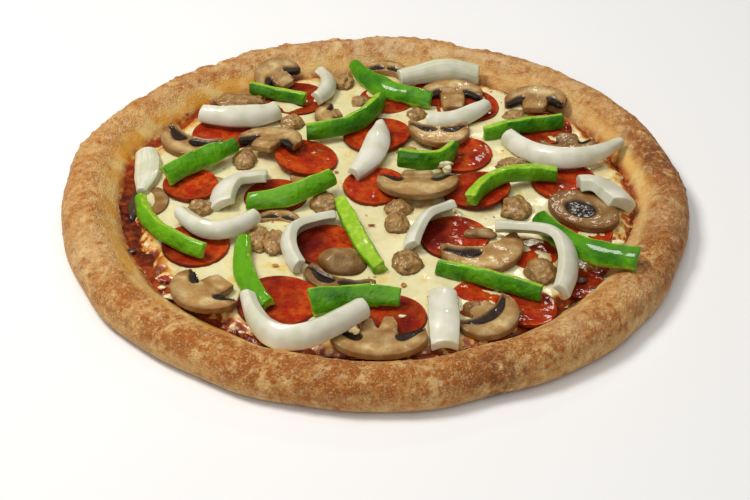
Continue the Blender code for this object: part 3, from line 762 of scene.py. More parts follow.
@dataclass(frozen=True)
class SweetPepper:
    """Green sweet pepper: a waxy dark green skin outside, pale wet flesh on the cuts and inside."""

    skin: str = "#5A9C08"
    deep: str = "#327204"
    bright: str = "#74B414"
    flesh: str = "#B2D242"
    inner: str = "#8EBC24"

    def material(self) -> Material:
        """Mixes the pepper's colours, sheen and relief.

        Returns:
            The material.
        """
        bench = ShaderBench(
            "green sweet pepper", ior=1.45, subsurface_weight=0.12, subsurface_scale=0.003, coat_weight=0.42,
            coat_roughness=0.09, roughness=0.3, specular_ior_level=0.15,
        )
        add, cloud = bench.add, bench.cloud
        bench.shader.inputs["Subsurface Radius"].default_value = (0.4, 1.0, 0.15)
        skin = add(BLEND, cloud(14.0, 0.36, 0.66, 2.0, 1.0), self.deep, self.skin)
        skin = add(BLEND, "tone", skin, self.bright)
        flesh = add(BLEND, cloud(4.0, 0.4, 0.7, 3.0, 2.0), self.inner, self.flesh)
        colour = add(BLEND, "skin", flesh, skin)
        normal = add(BUMP, cloud(5.5, 0.3, 0.7, 2.0, 3.0), 0.7 * MM)
        normal = add(BUMP, cloud(2.4, 0.3, 0.7, 1.0, 5.0), 0.18 * MM, normal)
        return bench.finished(colour, cloud(5.0, 1.9, -0.6, 2.0, 4.0), normal)


@dataclass(frozen=True)
class RawOnion:
    """White onion: wet, glassy layers that let light through, with faint veins along them."""

    white: str = "#E4E2D5"
    shade: str = "#D2D2BA"
    green: str = "#BFC88C"
    # Painted shade for the cut sides and the underside.
    cut_face_shade: str = "#CFCFB8"

    def material(self) -> Material:
        """Mixes the onion's colours, sheen and relief.

        Returns:
            The material.
        """
        bench = ShaderBench(
            "white onion", ior=1.42, subsurface_weight=0.3, subsurface_scale=0.003, coat_weight=0.45,
            coat_roughness=0.12, roughness=0.3,
        )
        add, cloud = bench.add, bench.cloud
        bench.shader.inputs["Subsurface Radius"].default_value = (1.0, 1.0, 0.8)
        veins = add(Step.NOISE, add(Step.JOIN, "across", "along"), 0.0, 1.0, 2.0)
        vein = add(Step.STRETCH, veins, 0.42, 0.72)
        colour = add(BLEND, cloud(11.0, 0.38, 0.66, 2.0, 1.0), self.white, self.shade)
        # Painted shade: the cut sides and the underside are greyer than the outer face.
        colour = add(BLEND, add(Step.SUBTRACT, 0.5, add(MULTIPLY, "skin", 0.5)), colour, self.cut_face_shade)
        colour = add(BLEND, add(MULTIPLY, vein, "vein"), colour, self.green)
        colour = add(BLEND, "green", colour, self.green)
        normal = add(BUMP, add(MULTIPLY, vein, "vein"), 0.12 * MM)
        return bench.finished(colour, cloud(6.0, 1.6, -0.5, 2.0, 2.0), normal)


@dataclass(frozen=True)
class PlainBit:
    """A small crumb, leaf or drop, coloured in patches of two shades."""

    name: str
    first: str
    second: str
    roughness: float = 0.5
    coat: float = 0.0

    def material(self) -> Material:
        """The bit's material."""
        bench = ShaderBench(self.name, roughness=self.roughness, coat_weight=self.coat, coat_roughness=0.08)
        patches = bench.cloud(2.0, 0.4, 0.6, 2.0, 1.0)
        return bench.finished(bench.add(BLEND, patches, self.first, self.second))


class GrowthTrees:
    """The geometry trees: baked relief, scattered bits, and the blades of gills."""

    sockets = {float: "NodeSocketFloat", int: "NodeSocketInt", tuple: "NodeSocketVector"}

    def __init__(self) -> None:
        """Builds each tree once."""
        self.relief = self.relief_tree()
        self.scatter = self.scatter_tree()
        self.blades = self.blades_tree()

    def started(self, name: str, inputs: dict[str, Any]) -> tuple[Any, Any]:
        """A tree with its named inputs.

        Args:
            name: The tree's name.
            inputs: Each input's name and default, between the geometry and the material.

        Returns:
            A call that adds a node to the tree, and the sockets of its inputs.
        """
        tree = bpy.data.node_groups.new(name, "GeometryNodeTree")
        for way in ("INPUT", "OUTPUT"):
            tree.interface.new_socket("Geometry", in_out=way, socket_type="NodeSocketGeometry")
        for label, default in inputs.items():
            kind = self.sockets[type(default)]
            tree.interface.new_socket(label, in_out="INPUT", socket_type=kind).default_value = default
        tree.interface.new_socket("Finish", in_out="INPUT", socket_type="NodeSocketMaterial")
        add = partial(add_node, tree)
        return add, add("NodeGroupInput").outputs

    @staticmethod
    def ended(add: Any, geometry: Any, finish: Any) -> Any:
        """Closes a tree: what it made is realized and given its material.

        Args:
            add: The call that adds a node to the tree.
            geometry: The socket of what was made.
            finish: The material input's socket.

        Returns:
            The tree.
        """
        real = add("GeometryNodeRealizeInstances", {"Geometry": geometry})
        painted = add("GeometryNodeSetMaterial", {"Geometry": real, "Material": finish})
        return add("NodeGroupOutput", {"Geometry": painted}).id_data

    def relief_tree(self) -> Any:
        """Pushes a surface out in swells and round blisters, where its open mark lets it.

        Returns:
            The tree.
        """
        sizes = {"Swell size": 0.012, "Swell height": 0.001, "Blister size": 0.006, "Blister height": 0.001}
        add, get = self.started("baked relief", {**sizes, "Seed": 1.0})
        place = add("GeometryNodeInputPosition")
        clouds = []
        for kind, detail in (("Swell", 3.0), ("Blister", 0.0)):
            scale = add("ShaderNodeMath", {0: 1.0, 1: get[f"{kind} size"]}, operation="DIVIDE")
            inputs = {"Vector": place, "W": get["Seed"], "Scale": scale}
            noisy = {**inputs, "Detail": detail}
            clouds.append(add("ShaderNodeTexNoise", noisy, noise_dimensions="4D"))
        cells = add("ShaderNodeTexVoronoi", inputs, voronoi_dimensions="4D", feature="SMOOTH_F1")
        swell = add("ShaderNodeMath", {0: clouds[0], 1: 0.5}, operation="SUBTRACT")
        swell = add("ShaderNodeMath", {0: swell, 1: get["Swell height"]}, operation="MULTIPLY")
        dome, where = (
            add("ShaderNodeMapRange", {0: value, 1: low, 2: high}, interpolation_type="SMOOTHSTEP")
            for value, low, high in ((cells.outputs["Distance"], 0.55, 0.05), (clouds[1], 0.45, 0.62))
        )
        dome = add("ShaderNodeMath", {0: dome, 1: where}, operation="MULTIPLY")
        inputs = {0: dome, 1: get["Blister height"], 2: swell}
        lift = add("ShaderNodeMath", inputs, operation="MULTIPLY_ADD")
        is_open = add("GeometryNodeInputNamedAttribute", {"Name": "open"}, data_type="FLOAT")
        lift = add("ShaderNodeMath", {0: lift, 1: is_open}, operation="MULTIPLY")
        outward = add("GeometryNodeInputNormal")
        push = add("ShaderNodeVectorMath", {0: outward, 3: lift}, operation="SCALE")
        inputs = {"Geometry": get["Geometry"], "Name": "blister", "Value": dome}
        kept = add("GeometryNodeStoreNamedAttribute", inputs, data_type="FLOAT")
        moved = add("GeometryNodeSetPosition", {"Geometry": kept, "Offset": push})
        return self.ended(add, moved, get["Finish"])

    def scatter_tree(self) -> Any:
        """Strews small rounded bits over a surface, where its bare mark lets them lie.

        Returns:
            The tree.
        """
        smallest, largest = (0.0004, 0.0004, 0.0001), (0.0012, 0.0008, 0.0003)
        inputs = {"Density": 4000.0, "Smallest": smallest, "Largest": largest, "Seed": 1}
        add, get = self.started("scattered bits", inputs)
        bare = add("GeometryNodeInputNamedAttribute", {"Name": "bare"}, data_type="FLOAT")
        density = add("ShaderNodeMath", {0: bare, 1: get["Density"]}, operation="MULTIPLY")
        seed = {"Seed": get["Seed"]}
        inputs = {"Mesh": get["Geometry"], "Density": density, **seed}
        spots = add("GeometryNodeDistributePointsOnFaces", inputs).outputs
        ball = add("GeometryNodeMeshIcoSphere", {"Radius": 1.0, "Subdivisions": 1})
        size, turn = (
            add("FunctionNodeRandomValue", {0: low, 1: high, **seed}, data_type="FLOAT_VECTOR")
            for low, high in ((get["Smallest"], get["Largest"]), ((0.0, 0.0, 0.0), (0.0, 0.0, 6.28)))
        )
        spin = add("FunctionNodeEulerToRotation", {0: turn})
        inputs = {0: spots["Rotation"], 1: spin}
        facing = add("FunctionNodeRotateRotation", inputs, rotation_space="LOCAL")
        inputs = {"Points": spots["Points"], "Instance": ball, "Rotation": facing, "Scale": size}
        return self.ended(add, add("GeometryNodeInstanceOnPoints", inputs), get["Finish"])

    def blades_tree(self) -> Any:
        """Stands thin blades side by side along lines of edges, as gills do.

        Returns:
            The tree.
        """
        inputs = {"Spacing": 0.0007, "Blade": (0.0022, 0.0003, 0.0012), "Seed": 1}
        add, get = self.started("blades along a line", inputs)
        lines = add("GeometryNodeMeshToCurve", {0: get["Geometry"]})
        inputs = {"Curve": lines, "Length": get["Spacing"]}
        steps = add("GeometryNodeCurveToPoints", inputs, mode="LENGTH").outputs
        up = add("ShaderNodeCombineXYZ", {"Z": 1.0})
        ways = {"primary_axis": "Z", "secondary_axis": "Y"}
        facing = add("FunctionNodeAxesToRotation", {0: up, 1: steps["Tangent"]}, **ways)
        blade = add("GeometryNodeMeshCube", {"Size": get["Blade"]}).outputs["Mesh"]
        inputs = {0: (0.7, 0.7, 0.6), 1: (1.15, 1.3, 1.1), "Seed": get["Seed"]}
        size = add("FunctionNodeRandomValue", inputs, data_type="FLOAT_VECTOR")
        reach = add("GeometryNodeInputNamedAttribute", {"Name": "reach"}, data_type="FLOAT")
        stretch = add("ShaderNodeCombineXYZ", {"X": reach, "Y": 1.0, "Z": 1.0})
        size = add("ShaderNodeVectorMath", {0: size, 1: stretch}, operation="MULTIPLY")
        inputs = {"Points": steps["Points"], "Instance": blade, "Rotation": facing, "Scale": size}
        return self.ended(add, add("GeometryNodeInstanceOnPoints", inputs), get["Finish"])

    def raised(self, piece: Object, finish: Any, seed: float, sizes: tuple) -> Object:
        """Raises a piece's swells and blisters.

        Args:
            piece: The piece.
            finish: Its material.
            seed: Which relief.
            sizes: The size and height of its swells, then of its blisters, in mm.

        Returns:
            The piece.
        """
        names = ("Swell size", "Swell height", "Blister size", "Blister height")
        values = {name: size * MM for name, size in zip(names, sizes)}
        return grown(piece, self.relief, {**values, "Seed": float(seed), "Finish": finish})


def grown(piece: Object, tree: Any, values: dict[str, Any]) -> Object:
    """Runs a geometry tree over a piece and keeps what it makes as the piece's plain mesh.

    Args:
        piece: The piece.
        tree: The geometry tree.
        values: The tree's inputs by name.

    Returns:
        The piece.
    """
    modifier = piece.modifiers.new("growth", "NODES")
    modifier.node_group = tree
    for item in tree.interface.items_tree:
        if item.item_type == "SOCKET" and item.in_out == "INPUT" and item.name in values:
            modifier[item.identifier] = values[item.name]
    made, old = evaluated(piece), piece.data
    piece.modifiers.remove(modifier)
    piece.data = made
    bpy.data.meshes.remove(old)
    made.name = piece.name
    made.shade_smooth()
    return piece


@dataclass
class Crust:
    """The dough: a flat base and a raised rim, blistered by the oven."""

    around: int = 1180
    along: int = 78
    bump: float = 0.9
    bump_size: float = 22.0
    crest_lift: float = 2.4
    knob_size: float = 6.0
    knobbly_at: float = 95.0
    plain_toast: float = 0.35
    # The size and height of the swells, then of the blisters, in mm.
    relief: tuple = (9.0, 2.0, 4.0, 0.85)
    # Where round the rim each look is strongest, and how far it spreads, in degrees.
    right_side: tuple = (0.0, 48.0)
    back_side: tuple = (85.0, 60.0)
    left_side: tuple = (180.0, 55.0)
    stained_side: tuple = (228.0, 26.0)
    # Browned spots. The strong ones on the right also darken that side as painted shade.
    toasted_and_shaded: tuple = (
        # x, y, reach in mm, strength
        (-120, 110, 40, 0.3), (-60, 150, 45, 0.25), (20, 160, 40, 0.2), (90, 135, 35, 0.2),
        (-158, 0, 45, 0.15), (-120, -100, 60, 0.4), (-40, -155, 60, 0.72), (40, -155, 60, 0.62),
        (110, -120, 45, 0.4), (150, -50, 50, 0.75), (170, 30, 40, 0.8), (150, 95, 35, 0.35),
    )
    scorched: tuple = (
        (60, -158, 13, 0.75), (20, -160, 10, 0.25), (165, 25, 38, 0.42), (150, 26, 22, 0.38),
        (162, -45, 35, 0.3), (-20, -162, 22, 0.2),
    )
    floured: tuple = ((-150, -60, 22, 0.3), (98, -128, 12, 0.35), (140, -100, 14, 0.3), (160, -30, 20, 0.2))

    def mesh(self) -> Object:
        """The plain dough: one section led round the outline, closed below and in the middle.

        Returns:
            The piece, before its blisters.
        """
        profile = [(share * RIM.base_width, z) for share, z in RIM.underside + RIM.top]
        section = smooth_through(profile, self.along)
        angles = full_turn(self.around)
        share = np.repeat(section[:, :1] / RIM.base_width, self.around, axis=1)
        z = np.repeat(section[:, 1:], self.around, axis=1)
        radius = RIM.outer(angles) - share * RIM.width(angles)
        x, y = placed(radius * np.cos(angles), radius * np.sin(angles))
        flat = rows_of(x, y, 0.0)
        rise = np.clip((0.9 - share) * 6.0, 0.0, 1.0) * (z > DOUGH_TOP)
        z = z + self.bump * rise * soft_noise(flat, self.bump_size, 0.0)
        back = smooth_step(70.0, 30.0, arc_distance(angles, self.knobbly_at))
        crest = smooth_step(0.0, 0.06, share) * smooth_step(0.3, 0.12, share) * (z > DOUGH_TOP)
        knobs = np.clip(soft_noise(flat, self.knob_size, 3.0) + 0.15, 0.0, 1.0)
        z = z + self.crest_lift * back * crest * knobs
        middle = placed(0.0, 0.0)
        poles = [(*middle, 0.0), (*middle, RIM.top[-1][1])]
        points = np.vstack([rows_of(x, y, z).reshape(-1, 3), poles])
        marks = self.marks(points, np.append(share.ravel(), [1.0, 1.0]))
        return mesh_piece("crust_dough", points, closed_rings(self.along, self.around), marks)

    def marks(self, points: ndarray, share: ndarray) -> dict[str, ndarray]:
        """What the material reads at each point.

        Args:
            points: The dough's points in mm.
            share: How far across the rim each lies, from 0 outside to 1 at the floor.

        Returns:
            The marks by name.
        """
        x, y = points[:, 0] + CENTRE[0], points[:, 1] + CENTRE[1]
        angle, top = np.arctan2(y, x), points[:, 2] > DOUGH_TOP
        # This mark is real browning, and on the right side also painted shade.
        toast_and_shade = self.plain_toast + round_spots(self.toasted_and_shaded, x, y)
        toast_and_shade = toast_and_shade * smooth_step(-0.03, 0.04, share) * smooth_step(1.0, 0.6, share)
        flour = 0.5 * smooth_step(7.0, 3.0, points[:, 2]) * (share < 0.3)
        inside = smooth_step(0.66, 0.8, share) * smooth_step(0.97, 0.88, share)
        flour = flour + 0.55 * bell(angle, *self.right_side) * inside
        patches = np.clip(2.5 * soft_noise(points, 8.0, 21.0), 0.0, 1.0) + 0.3 * (share > 0.3)
        flour = flour + 0.6 * bell(angle, *self.back_side) * top * (share < 0.8) * patches
        flour = flour + round_spots(self.floured, x, y)
        stained = bell(angle, *self.stained_side)
        wet = 0.55 + 0.3 * np.sin(3.0 * angle + 1.0) + 0.15 * np.sin(7.0 * angle)
        wet = np.clip(wet + 0.5 * bell(angle, *self.left_side) + 0.6 * stained, 0.35, 1.2)
        bare = top * (share < 0.97) * smooth_step(0.97, 0.85, share)
        return {
            "open": bare * (0.35 + 0.65 * smooth_step(0.78, 0.6, share)),
            "toast_and_shade": np.clip(toast_and_shade, 0.0, 1.2),
            "scorch": np.clip(round_spots(self.scorched, x, y), 0.0, 1.0),
            "flour": np.clip(flour, 0.0, 0.8),
            "oil": smooth_step(0.56 - 0.1 * stained, 0.80 - 0.1 * stained, share) * wet,
            "tomato": smooth_step(0.82, 0.95, share) * np.clip(wet + 0.1, 0.4, 1.0),
        }

    def build(self, trees: GrowthTrees) -> Object:
        """Raises the blisters, keeps the dough in its solid's box and dresses it.

        Args:
            trees: The geometry trees.

        Returns:
            The piece.
        """
        finish = BakedDough().material()
        piece = trees.raised(self.mesh(), finish, 2.0, self.relief)
        low, high = (np.array(corner) for corner in CAD_BOX)
        for vertex in piece.data.vertices:
            vertex.co = np.clip(vertex.co, low, high)
        return dressed(piece, finish, "crust", "crust")


def crust_surface(x: ndarray, y: ndarray) -> ndarray:
    """The dough's height over points of the plan, without its blisters.

    Args:
        x: Distances to the right in the frame, in mm.
        y: Distances behind.

    Returns:
        Heights in mm.
    """
    angle, radius = polar(x, y)
    shares, heights = zip(*RIM.top)
    return np.interp((RIM.outer(angle) - radius) / RIM.width(angle), shares, heights)


@dataclass
class Layer:
    """A soft layer on a square grid: its top follows heights, and its underside is flat."""

    pitch: float
    reach: float
    floor: float

    def grid(self) -> tuple[ndarray, ndarray]:
        """The grid's points in plan.

        Returns:
            Their distances to the right and behind, in mm.
        """
        count = int(self.reach / self.pitch)
        steps = np.arange(-count, count + 1) * self.pitch
        return np.meshgrid(steps, steps, indexing="ij")

    def mesh(self, name: str, spots: ndarray, kept: ndarray, marks: dict) -> Object:
        """Closes the kept cells of the grid into a solid layer.

        Args:
            name: The piece's name.
            spots: The top's points in mm, arranged as the grid.
            kept: Which grid points the layer covers.
            marks: Numbers at each grid point for its material.

        Returns:
            The piece.
        """
        cell = kept[:-1, :-1] & kept[1:, :-1] & kept[1:, 1:] & kept[:-1, 1:]
        used = np.zeros(kept.shape, bool)
        for di, dj in ((0, 0), (1, 0), (1, 1), (0, 1)):
            used[di : di + cell.shape[0], dj : dj + cell.shape[1]] |= cell
        count = int(used.sum())
        number = np.full(kept.shape, -1)
        number[used] = np.arange(count)
        made = bmesh.new()
        top = [made.verts.new(spot) for spot in spots[used].tolist()]
        for i, j in zip(*np.nonzero(cell)):
            corners = (number[i, j], number[i + 1, j], number[i + 1, j + 1], number[i, j + 1])
            made.faces.new([top[k] for k in corners])
        rim = [e for e in made.edges if e.is_boundary]
        lower = {}
        for edge in rim:
            for vertex in edge.verts:
                if vertex not in lower:
                    lower[vertex] = made.verts.new((vertex.co.x, vertex.co.y, self.floor))
        for edge in rim:
            a, b = edge.verts
            made.faces.new((a, b, lower[b], lower[a]))
        base = [e for e in made.edges if e.is_boundary]
        bmesh.ops.holes_fill(made, edges=base)
        bmesh.ops.recalc_face_normals(made, faces=made.faces)
        made.verts.index_update()
        points = np.array([v.co for v in made.verts])
        faces = [[v.index for v in f.verts] for f in made.faces]
        made.free()
        extra = len(points) - count
        tall = {label: np.append(values[used], np.zeros(extra)) for label, values in marks.items()}
        return mesh_piece(name, points, faces, tall)


@dataclass
class Sauce:
    """The tomato sauce, which shows as a wet ring between the cheese and the dough."""

    pitch: float = 1.1
    reach: float = 152.0
    floor: float = 7.3
    level: float = 8.9
    climb: float = 1.2
    left_climb: float = 3.2
    # The angle in degrees where it climbs highest, and how far that spreads.
    left_side: tuple = (180.0, 28.0)
    film: float = 0.9
    burnt: tuple = (
        # x, y, reach in mm, strength
        (-137, -15, 26, 1.0), (-120, -50, 14, 0.8), (-100, 90, 14, 0.5), (75, -122, 12, 0.3),
    )

    def build(self) -> Object:
        """Pours the sauce a little way up the dough's slope.

        Returns:
            The piece.
        """
        layer = Layer(self.pitch, self.reach, self.floor)
        x, y = layer.grid()
        angle, radius = polar(x, y)
        flat = rows_of(x, y, 0.0)
        rough = soft_noise(flat, 5.0, 4.0) + 0.5 * soft_noise(flat, 2.2, 5.0)
        climb = self.climb + self.left_climb * bell(angle, *self.left_side)
        edge = RIM.inner(angle) + climb + 2.0 * soft_noise(flat, 14.0, 6.0)
        slope = crust_surface(x, y)
        film = self.film * smooth_step(0.0, 4.0, edge - radius) - 0.5
        z = np.maximum(self.level + 0.45 * rough, slope + film + 0.25 * rough)
        z = np.where(radius > edge - 1.0, slope - 0.6, z)
        burnt = np.clip(round_spots(self.burnt, x + CENTRE[0], y + CENTRE[1]), 0.0, 1.0)
        piece = layer.mesh("tomato_sauce", rows_of(x, y, z), radius < edge + 1.2, {"burnt": burnt})
        return dressed(piece, TomatoSauce().material(), "sauce", "sauce")


@dataclass
class Cheese:
    """The melted cheese: it flows round every topping, and its ragged edge stops short of the dough."""

    pitch: float = 0.85
    reach: float = 146.0
    free: float = 11.7
    floor: float = 8.6
    lip: float = 8.4
    clearance: float = 0.12
    softening: int = 3
    gaps: tuple = (
        # angle in degrees, spread in degrees, how much sauce shows in mm
        (178, 24, 7.0), (205, 12, 5.0), (225, 12, 4.0), (250, 10, 3.0), (275, 14, 2.0), (308, 10, 3.5),
        (330, 10, 3.5), (140, 14, 3.0), (60, 12, 1.0),
    )

    def build(self, toppings: SolidProbe) -> Object:
        """Melts the cheese round the toppings.

        Args:
            toppings: The solids that lie on it.

        Returns:
            The piece.
        """
        layer = Layer(self.pitch, self.reach, self.floor)
        x, y = layer.grid()
        angle, radius = polar(x, y)
        flat = rows_of(x, y, 3.0)
        under = np.vectorize(toppings.under, otypes=[float])(x, y)
        covered = np.isfinite(under)
        near = covered.astype(float)
        for _ in range(self.softening):
            near = (near + neighbours(near)) / 5.0
        lift = 0.6 + 1.3 * soft_noise(flat, 12.0, 11.0)
        z = self.free + 0.7 * soft_noise(flat, 15.0, 0.0) + 0.25 * soft_noise(flat, 6.0, 7.0)
        z = z + lift * smooth_step(0.0, 0.5, near) * ~covered
        gap = sum(depth * bell(angle, centre, spread) for centre, spread, depth in self.gaps)
        ragged = 3.0 * soft_noise(flat, 9.0, 8.0) + 1.5 * soft_noise(flat, 3.5, 9.0)
        edge = RIM.inner(angle) + 0.6 - gap + ragged
        inner = smooth_step(0.0, 5.0, edge - radius)
        z = self.lip + (z - self.lip) * inner**0.6
        limit = np.where(covered, under - self.clearance, np.inf)
        z = np.minimum(z, limit)
        for _ in range(self.softening):
            z = np.minimum((2.0 * z + neighbours(z)) / 6.0, limit)
        z = np.maximum(z, self.floor + 0.1)
        kept = (radius < edge + 1.5) & (radius < RIM.inner(angle) + 2.0)
        marks = {
            "stain": 0.8 * (0.12 + 0.8 * near + 0.9 * smooth_step(14.0, 2.0, edge - radius)),
            "bare": ~covered & (near < 0.2) & (inner > 0.9),
            "brink": smooth_step(9.0, 0.5, edge - radius),
        }
        piece = layer.mesh("melted_cheese", rows_of(x, y, z), kept, marks)
        return dressed(piece, MeltedCheese().material(), "cheese", "cheese")


@dataclass
class Crumbles:
    """Sausage crumbles sunk in the cheese."""

    base: float = 9.0
    fineness: int = 5
    # The size and height of the swells, then of the grains, in mm.
    relief: tuple = (3.0, 0.9, 1.9, 0.55)
    # The share of a crumble's height above the base that is its own half, and where its middle lies.
    half_height: float = 0.62
    middle: float = 0.38
    rows: tuple = (
        # x, y, size across, size front to back, height of the top
        (-80, 96, 32, 17, 16), (-19, 118, 13, 17, 17), (-49, 71, 15, 15, 17), (-9, 96, 12, 12, 15),
        (25, 81, 12, 15, 15), (-75, 32, 13, 20, 17), (-97, -17, 15, 12, 17), (-63, -46, 13, 22, 17),
        (-54, -49, 12, 22, 18), (-28, -11, 16, 17, 17), (13, -17, 16, 13, 17), (12, -31, 13, 16, 18),
        (17, -67, 17, 19, 18), (79, 26, 19, 12, 17), (78, -17, 17, 21, 18), (88, -74, 18, 19, 18),
        (17, 43, 18, 11, 13), (84, 82, 17, 15, 13), (-49, 38, 16, 12, 13),
    )

    def build(self, trees: GrowthTrees, toppings: SolidProbe) -> None:
        """Rolls each crumble rough and sets it in its place.

        Args:
            trees: The geometry trees.
            toppings: The solids that lie over the crumbles.
        """
        finish = GroundSausage().material()
        for seed, (x, y, across, deep, top) in enumerate(self.rows):
            ball, faces = rough_ball(self.fineness)
            push = 1.0 + 0.22 * soft_noise(ball + (seed * 2.2, 0.0, 0.0), 0.7, 0.0)
            push += 0.10 * soft_noise(ball, 0.32, seed) + 0.04 * soft_noise(ball, 0.14, seed)
            tall = top - self.base
            points = ball * push[:, None] * (across / 2.0, deep / 2.0, self.half_height * tall)
            points = points + (*placed(x, y), self.base + self.middle * tall)
            marks = {"low": smooth_step(0.35, -0.1, ball[:, 2]), "open": np.ones(len(points))}
            piece = mesh_piece(f"sausage_crumble_{seed + 1:02d}", points, faces, marks)
            trees.raised(piece, finish, seed, self.relief)
            toppings.press(piece)
            dressed(piece, finish, "cheese", "cheese")


@dataclass(frozen=True)
class Disc:
    """One pepperoni slice: its place, its diameter and how it looks."""

    x: float
    y: float
    across: float
    dark: float = 0.3
    dark_side: float = 0.0
    cup: float = 0.5


@dataclass
class Pepperoni:
    """The pepperoni slices, free ones and ones half sunk in the cheese."""

    thickness: float = 2.2
    around: int = 84
    rings: int = 20
    sunk_top: float = 11.9
    # How far out the solid's top is read, as a share of the slice's diameter.
    read_at: float = 0.36
    free: tuple = (
        Disc(-90, 60, 36, 0.25), Disc(-40, 32, 37, 0.15), Disc(1, 57, 39, 0.2), Disc(-104, 5, 31, 0.15),
        Disc(0, 6, 36, 0.1), Disc(50, 38, 36, 0.25), Disc(57, 0, 38, 0.45, 0.4), Disc(108, 10, 37, 0.35),
        Disc(43, -43, 38, 0.6, 0.5), Disc(-26, -50, 36, 0.55, 0.6), Disc(-97, -50, 37, 0.3, 0.4),
        Disc(-50, -99, 43, 0.5, 0.7), Disc(8, -111, 36, 0.55),
    )
    sunk: tuple = (
        Disc(-48, 100, 37, 0.6), Disc(-56, -4, 35, 0.45), Disc(56, 91, 38, 0.4), Disc(56, -96, 35, 0.15),
        Disc(114, -38, 31, 0.2), Disc(78, -103, 32, 0.55), Disc(84, -57, 28, 0.35), Disc(7, 99, 33, 0.3),
        Disc(36, 106, 28, 0.4), Disc(108, -83, 26, 0.6), Disc(100, 66, 34, 0.6),
    )

    def slice_mesh(self, name: str, disc: Disc, plane: ndarray, seed: int) -> Object:
        """One slice, its rim a little curled and its face uneven.

        Args:
            name: The piece's name.
            disc: The slice.
            plane: The height and slopes of its top.
            seed: Which slice.

        Returns:
            The piece.
        """
        angles = full_turn(self.around)
        out = 1.0 + 0.02 * np.sin(2 * angles + disc.x) + 0.015 * np.sin(3 * angles + disc.y)
        face = [1.0 - (1.0 - k / self.rings) ** 1.5 for k in range(1, self.rings)]
        rows = [(share, 1.0) for share in face] + [(0.985, 1.0), (1.0, 0.72), (1.0, 0.3), (0.985, 0.0)]
        rows += [(share, 0.0) for share in (0.9, 0.6, 0.3)]
        shares, ups = np.array(rows).T
        radius = disc.across / 2.0 * out * shares[:, None]
        dx, dy = (np.append(radius * way(angles), [0.0, 0.0]) for way in (np.cos, np.sin))
        up = np.append(np.repeat(ups, self.around), [1.0, 0.0])
        share = np.hypot(dx, dy) / (disc.across / 2.0)
        x, y = placed(disc.x + dx, disc.y + dy)
        spots = rows_of(x, y, 0.0)
        uneven = 0.6 * soft_noise(spots, 8.0, seed) + 0.22 * soft_noise(spots, 2.5, seed)
        curl = disc.cup * smooth_step(0.7, 1.0, share) * (0.6 + 0.8 * soft_noise(spots, 18.0, seed + 0.5))
        z = on_plane(plane, x, y) - (1.0 - up) * self.thickness
        z = z + uneven * smooth_step(1.05, 0.8, share) * up + curl
        faces = [(face[0], *face[:0:-1]) for face in closed_rings(len(rows), self.around)]
        side = (math.cos(0.6 + seed) * dx + math.sin(0.6 + seed) * dy) / disc.across
        dark = disc.dark + disc.dark_side * np.clip(-2.0 * dx / disc.across, -1.0, 1.0) + 0.3 * side
        dark = dark + 0.55 * soft_noise(spots, 10.0, seed + 3.0) + 0.5 * (up < 0.9)
        edge = 0.35 * smooth_step(0.88, 0.95, share) * (up > 0.9)
        edge = edge * (0.5 + 1.5 * soft_noise(spots, 8.0, seed + 5.0))
        marks = {"dark": np.clip(dark, 0.0, 1.0), "edge": np.clip(edge, 0.0, 1.0)}
        return mesh_piece(name, rows_of(x, y, z), faces, marks)

    def build(self, toppings: SolidProbe) -> None:
        """Lays the slices.

        Args:
            toppings: The solids that lie over the sunk ones.
        """
        finish = CuredSausage().material()
        turns = full_turn(12)
        ring = np.vstack([[(0.0, 0.0)], self.read_at * rows_of(np.cos(turns), np.sin(turns))])
        for k, disc in enumerate(self.free):
            node = f"pepperoni_{k + 1:02d}"
            plane = SolidProbe([node]).plane(disc.across * ring + placed(disc.x, disc.y))
            dressed(self.slice_mesh(f"{node}_slice", disc, plane, k), finish, "pepperoni", node)
        for k, disc in enumerate(self.sunk):
            plane = np.array([self.sunk_top + 0.1 * (k % 3), 0.0, 0.0])
            piece = self.slice_mesh(f"sunk_pepperoni_{k + 1:02d}", disc, plane, k + 40)
            toppings.press(piece)
            dressed(piece, finish, "pepperoni", "cheese")


@dataclass(frozen=True)
class Cap:
    """One mushroom slice: its place, the way its cap faces, its sizes and how it looks."""

    x: float
    y: float
    turn: float
    breadth: float
    cap: float
    stem: float
    tone: float = 1.0
    damp: float = 0.15
    gill: float = 1.0
    split: bool = False
    side: float = 0.0
    joined: bool = False


